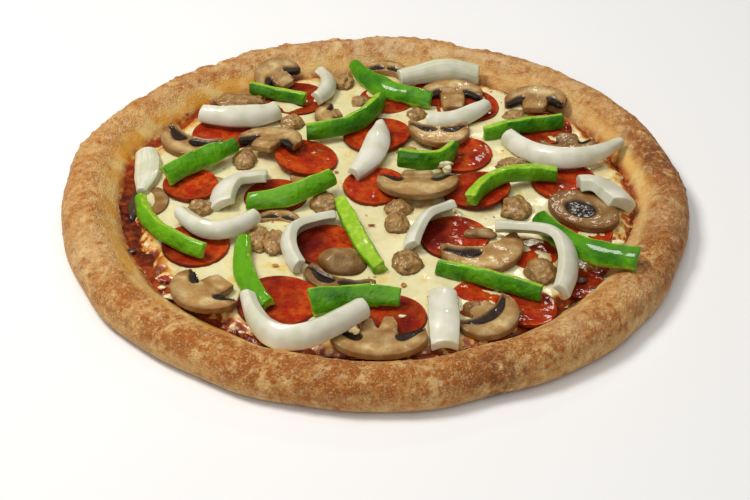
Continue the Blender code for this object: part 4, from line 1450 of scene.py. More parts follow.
@dataclass
class Mushrooms:
    """The mushroom slices, free ones and ones half sunk in the cheese."""

    thickness: float = 4.0
    voxel: float = 0.62
    sunk_top: float = 12.7
    # Half the stem's width, the cap's flat ends and the gills' outer end, as shares of the breadth.
    stalk: float = 0.19
    brim: float = 0.1
    gill_end: float = 0.47
    gill_depth: float = 1.1
    blade_spacing: float = 0.95
    # The size and height of a stub's swells, then of its blisters, in mm.
    stub_relief: tuple = (5.0, 0.8, 6.0, 0.0)
    free: tuple = (
        Cap(-61, 119, 135, 32, 15, 8), Cap(7, 131, 80, 28, 12, 0), Cap(47, 100, 90, 38, 16, 16),
        Cap(97, 92, 80, 38, 15, 8), Cap(-28, 79, 200, 24, 12, 4), Cap(-60, 46, 65, 40, 18, 10),
        Cap(-110, 47, 235, 41, 18, 0), Cap(38, 53, -85, 37, 20, 0, 1.12, 0.0),
        Cap(24, 0, -90, 47, 22, 8, 0.96, 0.0), Cap(115, -22, 55, 42, 22, -15, 0.86, 0.65),
        Cap(59, -63, -75, 46, 22, 0, 1.1, side=1.0), Cap(-89, -96, 225, 40, 20, 12, 1.1),
        Cap(-20, -84, -113, 40, 14, 0, 0.8, 0.4), Cap(2, -132, -90, 50, 17, 14, split=True),
        Cap(60, -116, -50, 35, 18, 6, 0.95, joined=True),
    )
    sunk: tuple = (
        Cap(-94, 8, 100, 22, 10, 6, 0.8), Cap(-121, -9, 0, 28, 9, 0, 0.9, 0.3, gill=0.0),
        Cap(-38, 13, 200, 32, 14, 6), Cap(113, 48, -90, 34, 15, 8, 0.8, 0.4),
        Cap(-52, -24, 80, 24, 10, 0),
    )
    stubs: tuple = (
        # x, y, size across and front to back, foot, top, how brown it is, how dark
        (-18, -67, 23, 17, 10.0, 20.5, 0.75, 0.08), (51, -106, 12, 11, 10.0, 17.0, 0.9, 0.15),
        (57, -41, 17, 8, 12.0, 16.0, 0.6, 0.1), (-134, -8, 7, 26, 8.5, 13.0, 0.5, 0.85),
        (-38, 6, 20, 7, 10.5, 14.0, 0.4, 0.3),
    )

    def outline(self, piece: Cap) -> list:
        """The slice's outline with its cap towards +Y and its middle at the origin, as in the solids.

        Args:
            piece: The slice.

        Returns:
            The outline's corners in mm.
        """
        half, breadth, stem = piece.breadth / 2.0, piece.breadth, piece.stem
        if stem < 0:
            return [(half * math.cos(a), -stem * math.sin(a)) for a in full_turn(56)]
        stalk, brim = self.stalk * breadth, -self.brim * breadth
        ends = [(half - 0.12 * breadth, brim), (half - 0.03 * breadth, brim)]
        points = list(ends)
        for k in range(33):
            angle = math.radians(8.0 + 164.0 * k / 32.0)
            points.append((half * math.cos(angle), piece.cap * math.sin(angle)))
        points += [(-px, py) for px, py in ends[::-1]]
        if stem:
            side = [(stalk + 0.05 * breadth, 0.0), (stalk, -0.03 * breadth)]
            side += [(stalk, -0.6 * stem), (0.8 * stalk, -stem)]
            points += [(-px, py) for px, py in side]
            if piece.split:
                cleft = ((-0.25, -0.95), (0.05, -0.2), (0.35, -0.85))
                points += [(u * stalk, v * stem) for u, v in cleft]
            points += side[::-1]
        else:
            points += [(-0.22 * breadth, 0.0), (0.0, 0.04 * breadth), (0.22 * breadth, 0.0)]
        return [(px, py - self.middle(piece)) for px, py in points]

    def middle(self, piece: Cap) -> float:
        """How far the slice's own middle lies above its cap's base line."""
        return (piece.cap - max(piece.stem, self.brim * piece.breadth)) / 2.0

    def flat_slice(self, name: str, piece: Cap) -> tuple[ndarray, list]:
        """The slice as an even voxel mesh, its edges rounded.

        Args:
            name: The piece's name.
            piece: The slice.

        Returns:
            Its points in mm about its own middle, and its faces.
        """
        curve = bpy.data.curves.new(name, "CURVE")
        curve.dimensions = "2D"
        curve.fill_mode = "BOTH"
        curve.extrude = self.thickness / 2.0
        outline = self.outline(piece)
        spline = curve.splines.new("POLY")
        spline.points.add(len(outline) - 1)
        for point, (x, y) in zip(spline.points, outline):
            point.co = (x, y, 0.0, 1.0)
        spline.use_cyclic_u = True
        holder = linked(name, curve)
        mesh = evaluated(holder)
        bpy.data.objects.remove(holder)
        bpy.data.curves.remove(curve)
        made = bmesh.new()
        made.from_mesh(mesh)
        bmesh.ops.remove_doubles(made, verts=made.verts, dist=0.01)
        bmesh.ops.recalc_face_normals(made, faces=made.faces)
        made.to_mesh(mesh)
        made.free()
        solid = linked(name, mesh)
        voxels = solid.modifiers.new("voxels", "REMESH")
        voxels.mode = "VOXEL"
        voxels.voxel_size = self.voxel
        solid.modifiers.new("rounding", "SMOOTH").iterations = 5
        smooth = evaluated(solid)
        bpy.data.objects.remove(solid)
        points = np.array([v.co for v in smooth.vertices])
        faces = [list(p.vertices) for p in smooth.polygons]
        for used in (mesh, smooth):
            bpy.data.meshes.remove(used)
        return points, faces

    @staticmethod
    def gill_line(piece: Cap, px: ndarray) -> ndarray:
        """The height of the gills' middle line about the cap's base line.

        Args:
            piece: The slice.
            px: Points across the slice, in mm.

        Returns:
            The line's height at each.
        """
        if piece.joined:
            return piece.breadth * (0.13 - 0.2 * (px / (piece.breadth * 0.46)) ** 2)
        inner, outer = piece.breadth * 0.17, piece.breadth * 0.40
        share = np.clip((np.abs(px) - inner) / (outer - inner), 0.0, 1.0)
        return piece.breadth * ((0.05 if piece.stem else 0.13) - 0.12 * share**1.5)

    def gill_mark(self, piece: Cap, px: ndarray, py: ndarray) -> ndarray:
        """How much each point belongs to the gills.

        Args:
            piece: The slice.
            px: Points across the slice, in mm.
            py: Points along it, about its middle.

        Returns:
            Numbers from 0 to 1.
        """
        if piece.stem < 0:
            reach = np.hypot((px + 1.5) / (piece.breadth * 0.47), (py + 1.0) / -piece.stem)
            return smooth_step(0.56, 0.42, reach)
        away = np.abs(py + self.middle(piece) - self.gill_line(piece, px))
        chosen = smooth_step(-2.0, 2.0, piece.side * px) if piece.side else 1.0
        return chosen * smooth_step(1.2, 0.75, away / (self.gill_reach(piece, px) + 0.01))

    def gill_reach(self, piece: Cap, px: ndarray) -> ndarray:
        """Half the gills' depth: full beside the stem, and thin at both ends.

        Args:
            piece: The slice.
            px: Points across the slice, in mm.

        Returns:
            The half depth at each.
        """
        if piece.joined:
            share = np.clip(np.abs(px) / (piece.breadth * 0.46), 0.0, 1.0)
            return piece.breadth * 0.085 * np.cos(share**2 * math.pi / 2.0)
        start = piece.breadth * (0.16 if piece.stem else 0.02)
        share = np.clip((np.abs(px) - start) / (piece.breadth * self.gill_end - start), 0.0, 1.0)
        return piece.breadth * 0.088 * np.sin(math.pi * share**0.7) ** 0.7

    def shaped(self, name: str, piece: Cap, plane: ndarray, seed: int) -> Object:
        """The slice with its gills sunk and its face uneven, in its place.

        Args:
            name: The piece's name.
            piece: The slice.
            plane: The height and slopes of its top.
            seed: Which slice.

        Returns:
            The piece.
        """
        local, faces = self.flat_slice(name, piece)
        px, py, pz = local.T
        half, line = piece.breadth / 2.0, py + self.middle(piece)
        up = smooth_step(-0.5, self.thickness / 2.0 - 0.4, pz)
        gill = self.gill_mark(piece, px, py) * piece.gill
        spots = local + (seed * 40.0, 0.0, 0.0)
        sunk = 0.35 * up * soft_noise(spots, 6.0, 1.0) + 0.12 * up * soft_noise(spots, 2.0, 2.0)
        sunk = sunk - self.gill_depth * gill * up
        bend = 0.3 * np.sin(px / piece.breadth * 3.0 + seed)
        x, y = self.turned(piece, px, py)
        z = on_plane(plane, x, y) + pz - self.thickness / 2.0 + sunk + bend
        if piece.stem < 0:
            rim = np.hypot(px / half, py / -piece.stem)
            skin = smooth_step(0.86, 0.97, rim)
        else:
            rim = np.hypot(px / half, np.maximum(line, 0.0) / piece.cap)
            skin = smooth_step(0.90, 0.99, rim)
        skin = np.maximum(skin * 0.62, 0.4 * (1.0 - up) * smooth_step(0.75, 0.95, rim))
        damp = piece.damp + 0.5 * smooth_step(0.7, 0.95, rim) * (1.0 - skin)
        damp = damp + 0.35 * soft_noise(spots, 5.0, 3.0)
        if piece.stem >= 0:
            below = smooth_step(1.0, -2.0, line)
            away = np.abs(line - self.gill_line(piece, px)) / piece.breadth
            damp = damp + 0.4 * smooth_step(0.16, 0.08, away) + 0.25 * below
            damp = damp + 0.3 * below * smooth_step(2.6, 1.0, np.abs(np.abs(px) - piece.breadth * self.stalk))
        marks = {
            "gill": gill * 0.95,
            "skin": np.clip(skin, 0.0, 1.0),
            "damp": np.clip(damp, 0.0, 0.9),
            "tone": np.full(len(px), piece.tone),
        }
        return mesh_piece(name, rows_of(x, y, z), faces, marks)

    @staticmethod
    def turned(piece: Cap, px: Any, py: Any) -> tuple[Any, Any]:
        """Points about a slice's middle, turned and moved to its place in the frame.

        Args:
            piece: The slice.
            px: Points across it, in mm.
            py: Points along it.

        Returns:
            Their distances to the right and behind.
        """
        spin = math.radians(piece.turn - 90.0)
        x = piece.x + px * math.cos(spin) - py * math.sin(spin)
        y = piece.y + px * math.sin(spin) + py * math.cos(spin)
        return placed(x, y)

    def gills(
        self, name: str, piece: Cap, plane: ndarray, trees: GrowthTrees, finish: Any, seed: int
    ) -> None:
        """Stands the gills' blades along their lines across the slice.

        Args:
            name: The piece's name.
            piece: The slice.
            plane: The height and slopes of its top.
            trees: The geometry trees.
            finish: The gills' material.
            seed: Which slice.
        """
        lines: list = []
        reaches: list = []
        if piece.stem < 0:
            steps = np.linspace(0.0, 2.0 * math.pi, 40)
            oval = rows_of(piece.breadth / 2.0 * np.cos(steps), -piece.stem * np.sin(steps))
            for share in (0.22, 0.42):
                lines.append(share * oval)
                reaches.append(np.full(len(steps), 1.6))
        else:
            start = piece.breadth * (self.stalk if piece.stem and not piece.joined else 0.04)
            across = np.linspace(start, piece.breadth * 0.42, 14)
            for side in (piece.side,) if piece.side else (-1.0, 1.0):
                lines.append(rows_of(side * across, self.gill_line(piece, across) - self.middle(piece)))
                reaches.append(1.15 * self.gill_reach(piece, across))
        x, y = self.turned(piece, *np.vstack(lines).T)
        starts = np.cumsum([0] + [len(line) for line in lines])
        edges = [(k, k + 1) for a, b in zip(starts, starts[1:]) for k in range(a, b - 1)]
        points = rows_of(x, y, on_plane(plane, x, y) - 1.3)
        holder = mesh_piece(name, points, [], {"reach": np.concatenate(reaches) * MM}, edges)
        blade = (1.0, 0.3 * MM, 0.8 * MM)
        values = {"Spacing": self.blade_spacing * MM, "Blade": blade, "Seed": seed, "Finish": finish}
        dressed(grown(holder, trees.blades, values), finish, "mushroom")

    def stub(self, name: str, row: tuple, trees: GrowthTrees, finish: Any, seed: int) -> None:
        """A thick end of stem that stands on a slice.

        Args:
            name: The piece's name.
            row: Its place, its sizes, and how brown and how dark it is.
            trees: The geometry trees.
            finish: Its material.
            seed: Which stub.
        """
        x, y, across, deep, foot, top, brown, dark = row
        ball, faces = rough_ball(4)
        spot = np.sign(ball) * np.abs(ball) ** 0.8 * (1.0 + 0.25 * soft_noise(ball, 0.9, seed))[:, None]
        spot[:, :2] *= 1.0 - 0.42 * ball[:, 2:]
        points = spot * (across / 2.0, deep / 2.0, (top - foot) / 2.0) + (*placed(x, y), (foot + top) / 2.0)
        marks = {
            "open": np.ones(len(points)),
            # Painted shade: the stub is darker and browner towards its foot and paler towards its top,
            # carried in its gill and skin marks.
            "gill": np.clip(dark + 0.5 * smooth_step(0.1, -0.7, ball[:, 2]), 0.0, 0.95),
            "skin": np.clip(brown + 0.5 * soft_noise(ball, 0.8, seed + 4.0) - 0.3 * ball[:, 2], 0.0, 0.9),
            "damp": np.full(len(points), 0.35),
            "tone": np.full(len(points), 1.0),
        }
        piece = mesh_piece(name, points, faces, marks)
        dressed(trees.raised(piece, finish, 1.0, self.stub_relief), finish, "mushroom")

    def build(self, trees: GrowthTrees, toppings: SolidProbe) -> None:
        """Lays the slices and their gills.

        Args:
            trees: The geometry trees.
            toppings: The solids that lie over the sunk slices.
        """
        finish = MushroomFlesh().material()
        # Raw gills dry to thin, matt, nearly black blades.
        gill_finish = PlainBit("mushroom gills", "#2C1D18", "#180E0B", 0.6, 0.1).material()
        shares = [(sx, sy) for sx in (-0.3, -0.1, 0.1, 0.3) for sy in (-0.25, 0.0, 0.25)]
        for k, row in enumerate(self.stubs):
            self.stub(f"mushroom_stub_{k + 1:02d}", row, trees, finish, k)
        for k, cap in enumerate(self.free):
            node = f"mushroom_{k + 1:02d}"
            spots = [self.turned(cap, sx * cap.breadth, sy * cap.cap) for sx, sy in shares]
            plane = SolidProbe([node]).plane(np.array(spots))
            dressed(self.shaped(f"{node}_slice", cap, plane, k), finish, "mushroom", node)
            self.gills(f"{node}_gills", cap, plane, trees, gill_finish, k)
        for k, cap in enumerate(self.sunk):
            plane = np.array([self.sunk_top + 0.15 * k, 0.0, 0.0])
            piece = self.shaped(f"sunk_mushroom_{k + 1:02d}", cap, plane, k + 30)
            toppings.press(piece)
            dressed(piece, finish, "mushroom", "cheese")


# How far a strip's middle bulges out of its chord, as a share of its width, as in the solids.
SAG = 0.14


@dataclass(frozen=True)
class Strip:
    """One bent strip of onion or pepper, as in the solids, with how it looks.

    A lean of 0 lies flat with its outer face up, and one of 90 stands on edge with that face to the right.
    """

    kind: Kind
    start: tuple
    middle: tuple
    end: tuple
    width: float
    thickness: float
    lean: float
    tips: tuple = (0.8, 0.8)
    tone: float = 0.0
    vein: float = 0.1
    fuller: float = 1.0
    wider: float = 1.0
    flare: float = 0.0

    def path(self, t: ndarray) -> tuple[ndarray, ndarray]:
        """The plan position and direction at shares of the strip's length.

        Args:
            t: The shares.

        Returns:
            Positions and unit directions, a row each.
        """
        a, m, b = (np.array(placed(*p)) for p in (self.start, self.middle, self.end))
        first = float(np.linalg.norm(m - a))
        share = first / (first + float(np.linalg.norm(b - m)))
        t = np.asarray(t, float)[:, None]
        position = a * (t - share) * (t - 1.0) / share
        position = position + m * t * (t - 1.0) / (share * (share - 1.0))
        position = position + b * t * (t - share) / (1.0 - share)
        slope = a * (2.0 * t - share - 1.0) / share + m * (2.0 * t - 1.0) / (share * (share - 1.0))
        slope = slope + b * (2.0 * t - share) / (1.0 - share)
        return position, slope / np.linalg.norm(slope, axis=1, keepdims=True)

    def length(self) -> float:
        """The strip's length along its three points, in mm."""
        return math.dist(self.start, self.middle) + math.dist(self.middle, self.end)

    def taper(self, t: float) -> float:
        """How much of its full section the solid keeps towards its ends."""
        return min(tip + (1.0 - tip) * min(1.0, away / 0.3) for tip, away in zip(self.tips, (t, 1.0 - t)))

    def soft_taper(self, t: ndarray) -> ndarray:
        """How much of its full section the strip keeps, with a rounder change and its flare.

        Args:
            t: Shares of the strip's length.

        Returns:
            The share of the full section at each.
        """
        kept = 1.0 + self.flare * np.exp(-((t / 0.22) ** 2))
        for tip, away in zip(self.tips, (t, 1.0 - t)):
            kept = kept * (tip + (1.0 - tip) * np.sin(math.pi / 2.0 * np.minimum(1.0, away / 0.5)))
        return kept

    def centre_offset(self, t: float) -> float:
        """How far the middle of the solid's section, seen from above, lies over the strip's own line.

        Args:
            t: The share of the strip's length.

        Returns:
            The height in mm.
        """
        half, deep = self.width * self.taper(t) / 2.0, self.thickness / 2.0
        cos, sin = math.cos(math.radians(self.lean)), math.sin(math.radians(self.lean))
        corners = []
        for u, v in ((1, -0.4), (1, 0.4), (0.6, 1), (-0.6, 1), (-1, 0.4), (-1, -0.4), (-0.6, -1), (0.6, -1)):
            across, up = u * half, v * deep + SAG * self.width * (0.5 - u * u)
            corners.append((across * cos - up * sin, across * sin + up * cos))
        crossings = []
        for k, (left, up) in enumerate(corners):
            other_left, other_up = corners[k - 1]
            if (left > 0.0) != (other_left > 0.0):
                crossings.append(up + left / (left - other_left) * (other_up - up))
        return (min(crossings) + max(crossings)) / 2.0


@dataclass
class Strips:
    """The onion and pepper strips."""

    stations: int = 72
    around: int = 36
    # How long the rounding of an end is in mm, and how much it takes off the section.
    round_length: float = 0.9
    round_depth: float = 0.14
    rows: tuple = ()

    @staticmethod
    def line(strip: Strip, probe: SolidProbe) -> ndarray:
        """The heights of a strip's own line, read off its solid.

        Args:
            strip: The strip.
            probe: Its solid.

        Returns:
            Rows of a share of the strip's length and the height there.
        """
        shares = np.linspace(0.04, 0.96, 12)
        spots, _ = strip.path(shares)
        rows = []
        for t, (x, y) in zip(shares, spots):
            low, high = probe.under(x, y), probe.over(x, y)
            if math.isfinite(low) and math.isfinite(high):
                rows.append((t, (low + high) / 2.0 - strip.centre_offset(float(t))))
        return np.array(rows)

    @staticmethod
    def section(strip: Strip) -> tuple[ndarray, ndarray]:
        """A rounded rectangle, as shares of half the strip's width and half its thickness.

        Args:
            strip: The strip.

        Returns:
            The shares across and the shares up, once round.
        """
        radius = 1.0 if strip.kind is Kind.PEPPER else 0.55
        flat_u, flat_v = 1.0 - 2.0 * radius / strip.width, 1.0 - 2.0 * radius / strip.thickness
        points: list = []
        for quarter, (su, sv) in enumerate(((1, 1), (-1, 1), (-1, -1), (1, -1))):
            for angle in (quarter + np.linspace(0.0, 1.0, 5)) * math.pi / 2.0:
                u = su * flat_u + (1.0 - flat_u) * math.cos(angle)
                points.append((u, sv * flat_v + (1.0 - flat_v) * math.sin(angle)))
            between = 6 if quarter % 2 == 0 else 2
            for share in 1.0 - 2.0 * np.arange(1, between + 1) / (between + 1.0):
                points.append((su * flat_u * share, sv) if quarter % 2 == 0 else (su, sv * flat_v * share))
        u, v = np.array(points, float).T
        return u, v

    def stops(self, length: float) -> tuple[ndarray, ndarray]:
        """Where a strip's rings stand.

        Args:
            length: The strip's length in mm.

        Returns:
            Shares of its length, closer together at both ends, and how much of the section each ring keeps.
        """
        ends = np.array([0.0, 0.12, 0.35, 0.65, 1.0])
        tip = self.round_length / length
        inner = np.linspace(tip, 1.0 - tip, self.stations - 2 * len(ends))
        shares = np.concatenate([ends[:-1] * tip, inner, 1.0 - ends[-2::-1] * tip])
        kept = 1.0 - self.round_depth + self.round_depth * np.sqrt(1.0 - (1.0 - ends) ** 2)
        squeeze = np.ones(len(shares))
        squeeze[: len(ends)] = kept
        squeeze[-len(ends) :] = kept[::-1]
        return shares, squeeze

    @staticmethod
    def heights(rows: ndarray, shares: ndarray) -> ndarray:
        """A strip's height along its line, smooth between the heights that were read, and straight past them.

        Args:
            rows: Rows of a share of its length and the height there.
            shares: The shares at which the height is asked for.

        Returns:
            The heights in mm.
        """
        along, level = rows.T
        degree = 5 if len(rows) > 8 else 2
        height = np.polyval(np.polyfit(along, level, degree), np.clip(shares, along[0], along[-1]))
        slopes = np.diff(level) / np.diff(along)
        height = height + np.minimum(shares - along[0], 0.0) * slopes[0]
        return height + np.maximum(shares - along[-1], 0.0) * slopes[-1]

    def build_strip(self, strip: Strip, name: str, node: str, finish: Any, seed: int) -> None:
        """Bends one strip along its line and dresses it.

        Args:
            strip: The strip.
            name: The piece's name.
            node: Its CAD node.
            finish: Its material.
            seed: Which strip.
        """
        shares, squeeze = self.stops(strip.length())
        height = self.heights(self.line(strip, SolidProbe([node])), shares)
        spots, ways = strip.path(shares)
        u, v = self.section(strip)
        along = shares * strip.length()
        rails = rows_of(along, seed * 9.0, 0.0)
        # A pepper's cut wanders more than an onion's.
        wavy = 1.0 if strip.kind is Kind.PEPPER else 0.4
        wide = strip.soft_taper(shares) * (1.0 + 0.16 * wavy * soft_noise(rails, 10.0, 1.0)) * squeeze
        thick = (1.0 + 0.3 * wavy * soft_noise(rails, 9.0, 2.0)) * squeeze
        lean = np.radians(strip.lean + 14.0 * wavy * soft_noise(rails, 15.0, 3.0))[:, None]
        if strip.kind is Kind.ONION:
            v = v * (1.0 - 0.14 * u * u)
        across = strip.wider * strip.width / 2.0 * np.outer(wide, u)
        deep = strip.fuller * strip.thickness / 2.0 * np.outer(thick, v) + SAG * strip.width * (0.5 - u * u)
        if strip.kind is Kind.PEPPER:
            waves = soft_noise(rows_of(full_turn(self.around) * 3.0, seed, 0.0), 1.0, 4.0)
            deep = deep + 0.25 * waves * (v < 0)
        left = across * np.cos(lean) - deep * np.sin(lean)
        up = across * np.sin(lean) + deep * np.cos(lean)
        x = spots[:, :1] - ways[:, 1:] * left
        y = spots[:, 1:] + ways[:, :1] * left
        z = (height + 0.7 * wavy * soft_noise(rails, 12.0, 5.0))[:, None] + up
        points = rows_of(x, y, np.minimum(z, CAD_BOX[1][2] / MM)).reshape(-1, 3)
        poles = [points[: self.around].mean(axis=0), points[-self.around :].mean(axis=0)]
        points = np.vstack([points, poles])
        outer = smooth_step(0.30, 0.85, v) * smooth_step(0.99, 0.86, np.abs(u))
        count, size = len(shares), len(points)
        greener = np.append(np.tile(0.5 * smooth_step(0.75, 1.0, np.abs(u)), count), [0.3, 0.3])
        marks = {
            "skin": np.append(np.tile(outer, count), [0.0, 0.0]),
            "tone": np.full(size, strip.tone),
            "across": np.append(np.tile(u * strip.width * 0.55, count), [0.0, 0.0]) + seed * 7.0,
            "along": 0.03 * np.append(np.repeat(along, self.around), [0.0, along[-1]]),
            "vein": np.full(size, strip.vein),
            "green": greener * strip.tone,
        }
        piece = mesh_piece(name, points, closed_rings(count, self.around), marks)
        dressed(piece, finish, strip.kind.value, node)

    def build(self) -> None:
        """Lays every strip in the order of the solids."""
        finishes = {Kind.ONION: RawOnion().material(), Kind.PEPPER: SweetPepper().material()}
        counts = dict.fromkeys(Kind, 0)
        for seed, strip in enumerate(self.rows):
            counts[strip.kind] += 1
            node = f"{strip.kind.value}_{counts[strip.kind]:02d}"
            self.build_strip(strip, f"{node}_strip", node, finishes[strip.kind], seed)


ONION, PEPPER = Kind.ONION, Kind.PEPPER
STRIP_ROWS = (
    Strip(ONION, (-22, -28), (-45, -45), (-40, -75), 8, 5.5, 60, wider=1.25),
    Strip(ONION, (43, -18), (27, -33), (19, -57), 9, 5, 50, wider=1.35),
    Strip(PEPPER, (-76, 101), (-58, 98), (-42, 92), 7.5, 4, 75, (1, 1)),
    Strip(PEPPER, (-13, 135), (0, 110), (34, 91), 12, 4.5, 35, (0.6, 0.9)),
    Strip(PEPPER, (-40, 52), (-12, 62), (4, 93), 11, 4.5, 65, (0.9, 0.7)),
    Strip(PEPPER, (64, 56), (88, 62), (111, 67), 9, 4, 75, (1, 1)),
    Strip(PEPPER, (13, 18), (36, 21), (46, 40), 11, 4.5, 70, (1, 0.6)),
    Strip(PEPPER, (-117, 4), (-101, 20), (-80, 37), 12, 4.5, 45, (1, 0.7)),
    Strip(PEPPER, (-71, -15), (-50, -14), (-24, 2), 12, 4.5, 50, (0.8, 0.8), 0.35),
    Strip(PEPPER, (53, -18), (69, 2), (103, 10), 9, 6, 80, (0.8, 0.9), 0.4),
    Strip(PEPPER, (-131, -9), (-119, -40), (-91, -63), 9, 5, 60, (0.8, 1), 0.6),
    Strip(PEPPER, (-18, -15), (-10, -45), (3, -74), 9, 5, 115, (0.9, 0.9), 0.3, fuller=1.6, flare=0.3),
    Strip(PEPPER, (-70, -50), (-69, -77), (-55, -106), 11, 4.5, 15, (0.7, 0.8), 0.3),
    Strip(PEPPER, (-33, -107), (-10, -102), (13, -103), 12, 4.5, 50, (0.9, 0.8), flare=0.4),
    Strip(PEPPER, (33, -73), (60, -86), (86, -97), 9, 4.5, 65, (1, 0.9)),
    Strip(PEPPER, (90, -28), (107, -61), (137, -81), 13, 4.5, 40, (0.8, 1)),
    Strip(ONION, (-103, 72), (-80, 67), (-58, 77), 13, 5, 50, (0.8, 0.9)),
    Strip(ONION, (-34, 128), (-28, 112), (-35, 89), 10, 5, -45, (0.7, 0.8)),
    Strip(ONION, (3, 62), (1, 38), (-12, 12), 15, 5, -20, (0.4, 0.55)),
    Strip(ONION, (15, 113), (38, 119), (64, 119), 13, 5, 60, (0.8, 0.9), 0.5, 0.5),
    Strip(ONION, (31, 70), (50, 71), (67, 86), 11, 5, 45, (0.9, 0.7)),
    Strip(ONION, (77, 52), (107, 23), (142, 41), 14, 5, 50, (0.85, 0.5), wider=0.88),
    Strip(ONION, (-133, 40), (-130, 20), (-131, -2), 15, 4.5, 10, (0.8, 0.4), 0.8, 0.8),
    Strip(ONION, (-61, 11), (-79, 5), (-85, -18), 11, 5.5, 30, (0.9, 0.8), 0.5, wider=1.65),
    Strip(ONION, (-107, -27), (-86, -46), (-65, -31), 12, 6, 55, (0.75, 0.85), 0.6, wider=0.85),
    Strip(ONION, (-66, -101), (-46, -137), (-5, -119), 12, 6, 55, (0.5, 0.8), wider=1.1),
    Strip(ONION, (65, -43), (96, -57), (96, -101), 10, 5, -45, (0.9, 0.8), wider=1.25),
    Strip(ONION, (35, -94), (35, -115), (35, -137), 16, 5, 0, (0.9, 0.9)),
    Strip(ONION, (114, 0), (130, -4), (137, -19), 15, 5, -30, (0.75, 0.7), fuller=1.5, wider=1.45),
)


@dataclass(frozen=True)
class Sprinkle:
    """One kind of small bit strewn over the cheese: how many, how large and its finish."""

    name: str
    density: float
    smallest: tuple
    largest: tuple
    seed: int
    finish: PlainBit


@dataclass
class Sprinkles:
    """Herb flecks, oil drops and cheese crumbs."""

    kinds: tuple = (
        Sprinkle(
            "herb_flecks", 3000.0, (0.25, 0.2, 0.06), (0.9, 0.5, 0.14), 3,
            PlainBit("dried oregano", "#5C5A1E", "#3E3A14", 0.7),
        ),
        Sprinkle(
            "oil_drops", 1300.0, (0.5, 0.5, 0.12), (1.5, 1.2, 0.3), 5,
            PlainBit("paprika oil", "#D98E1E", "#C8641A", 0.12, 0.6),
        ),
        Sprinkle(
            "cheese_crumbs", 1500.0, (0.4, 0.4, 0.2), (1.1, 0.8, 0.5), 8,
            PlainBit("curd crumbs", "#F1E8C4", "#E5D08A", 0.4, 0.2),
        ),
    )

    def build(self, cheese: Object, trees: GrowthTrees) -> None:
        """Strews each kind.

        Args:
            cheese: The melted cheese.
            trees: The geometry trees.
        """
        for kind in self.kinds:
            finish = kind.finish.material()
            piece = linked(kind.name, cheese.data.copy())
            values = {
                "Density": kind.density,
                "Smallest": tuple(s * MM for s in kind.smallest),
                "Largest": tuple(s * MM for s in kind.largest),
                "Seed": kind.seed,
                "Finish": finish,
            }
            dressed(grown(piece, trees.scatter, values), finish, "cheese")


@dataclass
class Bits:
    """Single small bits that the eye picks out: a ball of curd, curls of cheese, flakes of red."""

    rows: tuple = (
        # x, y, height, size across, front to back and up, kind
        (-72, -120, 12.2, 3.6, 3.6, 3.2, "curd"), (-68, -123, 11.6, 2.2, 1.8, 1.4, "curd"),
        (-107, -92, 10.0, 7.0, 4.0, 2.0, "curd"), (-112, -84, 9.8, 4.0, 3.0, 1.6, "curd"),
        (38, 19, 18.5, 12.0, 5.0, 4.0, "curd"), (41, 11, 20.0, 5.5, 4.0, 5.0, "curd"),
        (14, -112, 13.2, 4.2, 2.0, 1.0, "curd"), (-20, -104, 14.0, 3.0, 2.0, 1.5, "curd"),
        (131, -47, 12.0, 8.0, 4.0, 2.0, "curd"), (-2, -32, 12.6, 4.5, 1.4, 0.7, "red"),
        (-8, -36, 12.4, 1.8, 1.2, 0.6, "red"), (127, -47, 12.2, 3.2, 2.4, 1.2, "red"),
        (-110, -78, 11.0, 8.0, 6.0, 1.4, "red"), (15, -85, 12.5, 2.6, 3.2, 0.7, "oil"),
        (-53, -68, 12.5, 3.4, 2.2, 0.6, "oil"), (28, -95, 12.4, 2.0, 1.6, 0.5, "oil"),
        (-22, 20, 12.5, 2.4, 1.8, 0.5, "oil"), (108, -82, 12.8, 7.0, 5.0, 3.0, "dark"),
        (115, -88, 11.6, 6.0, 4.0, 2.4, "dark"), (121, -80, 11.8, 5.0, 3.0, 2.0, "dark"),
        (-98, 92, 11.0, 7.0, 4.0, 2.4, "dark"), (-115, 85, 10.4, 6.0, 3.6, 2.0, "dark"),
        (-132, 30, 10.0, 5.0, 6.0, 2.0, "dark"), (-131, -52, 9.8, 5.0, 5.0, 2.2, "dark"),
    )

    def build(self) -> None:
        """Sets each kind of bit as one piece."""
        finishes = {
            "curd": PlainBit("pale curd", "#EFE6C4", "#E2D19A", 0.35, 0.3),
            "red": PlainBit("tomato flakes", "#A83A12", "#7A1E0A", 0.35, 0.3),
            "oil": PlainBit("amber oil", "#C8821E", "#B0641A", 0.12, 0.6),
            "dark": PlainBit("seared edges", "#6E3A26", "#3C1C14", 0.35, 0.4),
        }
        for kind, bit in finishes.items():
            points: list = []
            faces: list = []
            for seed, (x, y, z, *size, sort) in enumerate(self.rows):
                if sort != kind:
                    continue
                ball, triangles = rough_ball(3)
                push = 1.0 + 0.35 * soft_noise(ball, 0.8, seed) + 0.12 * soft_noise(ball, 0.3, seed)
                faces.extend([len(points) + k for k in triangle] for triangle in triangles)
                points.extend(ball * push[:, None] * np.array(size) / 2.0 + (*placed(x, y), z))
            dressed(mesh_piece(f"bits_of_{kind}", np.array(points), faces, {}), bit.material(), "cheese")


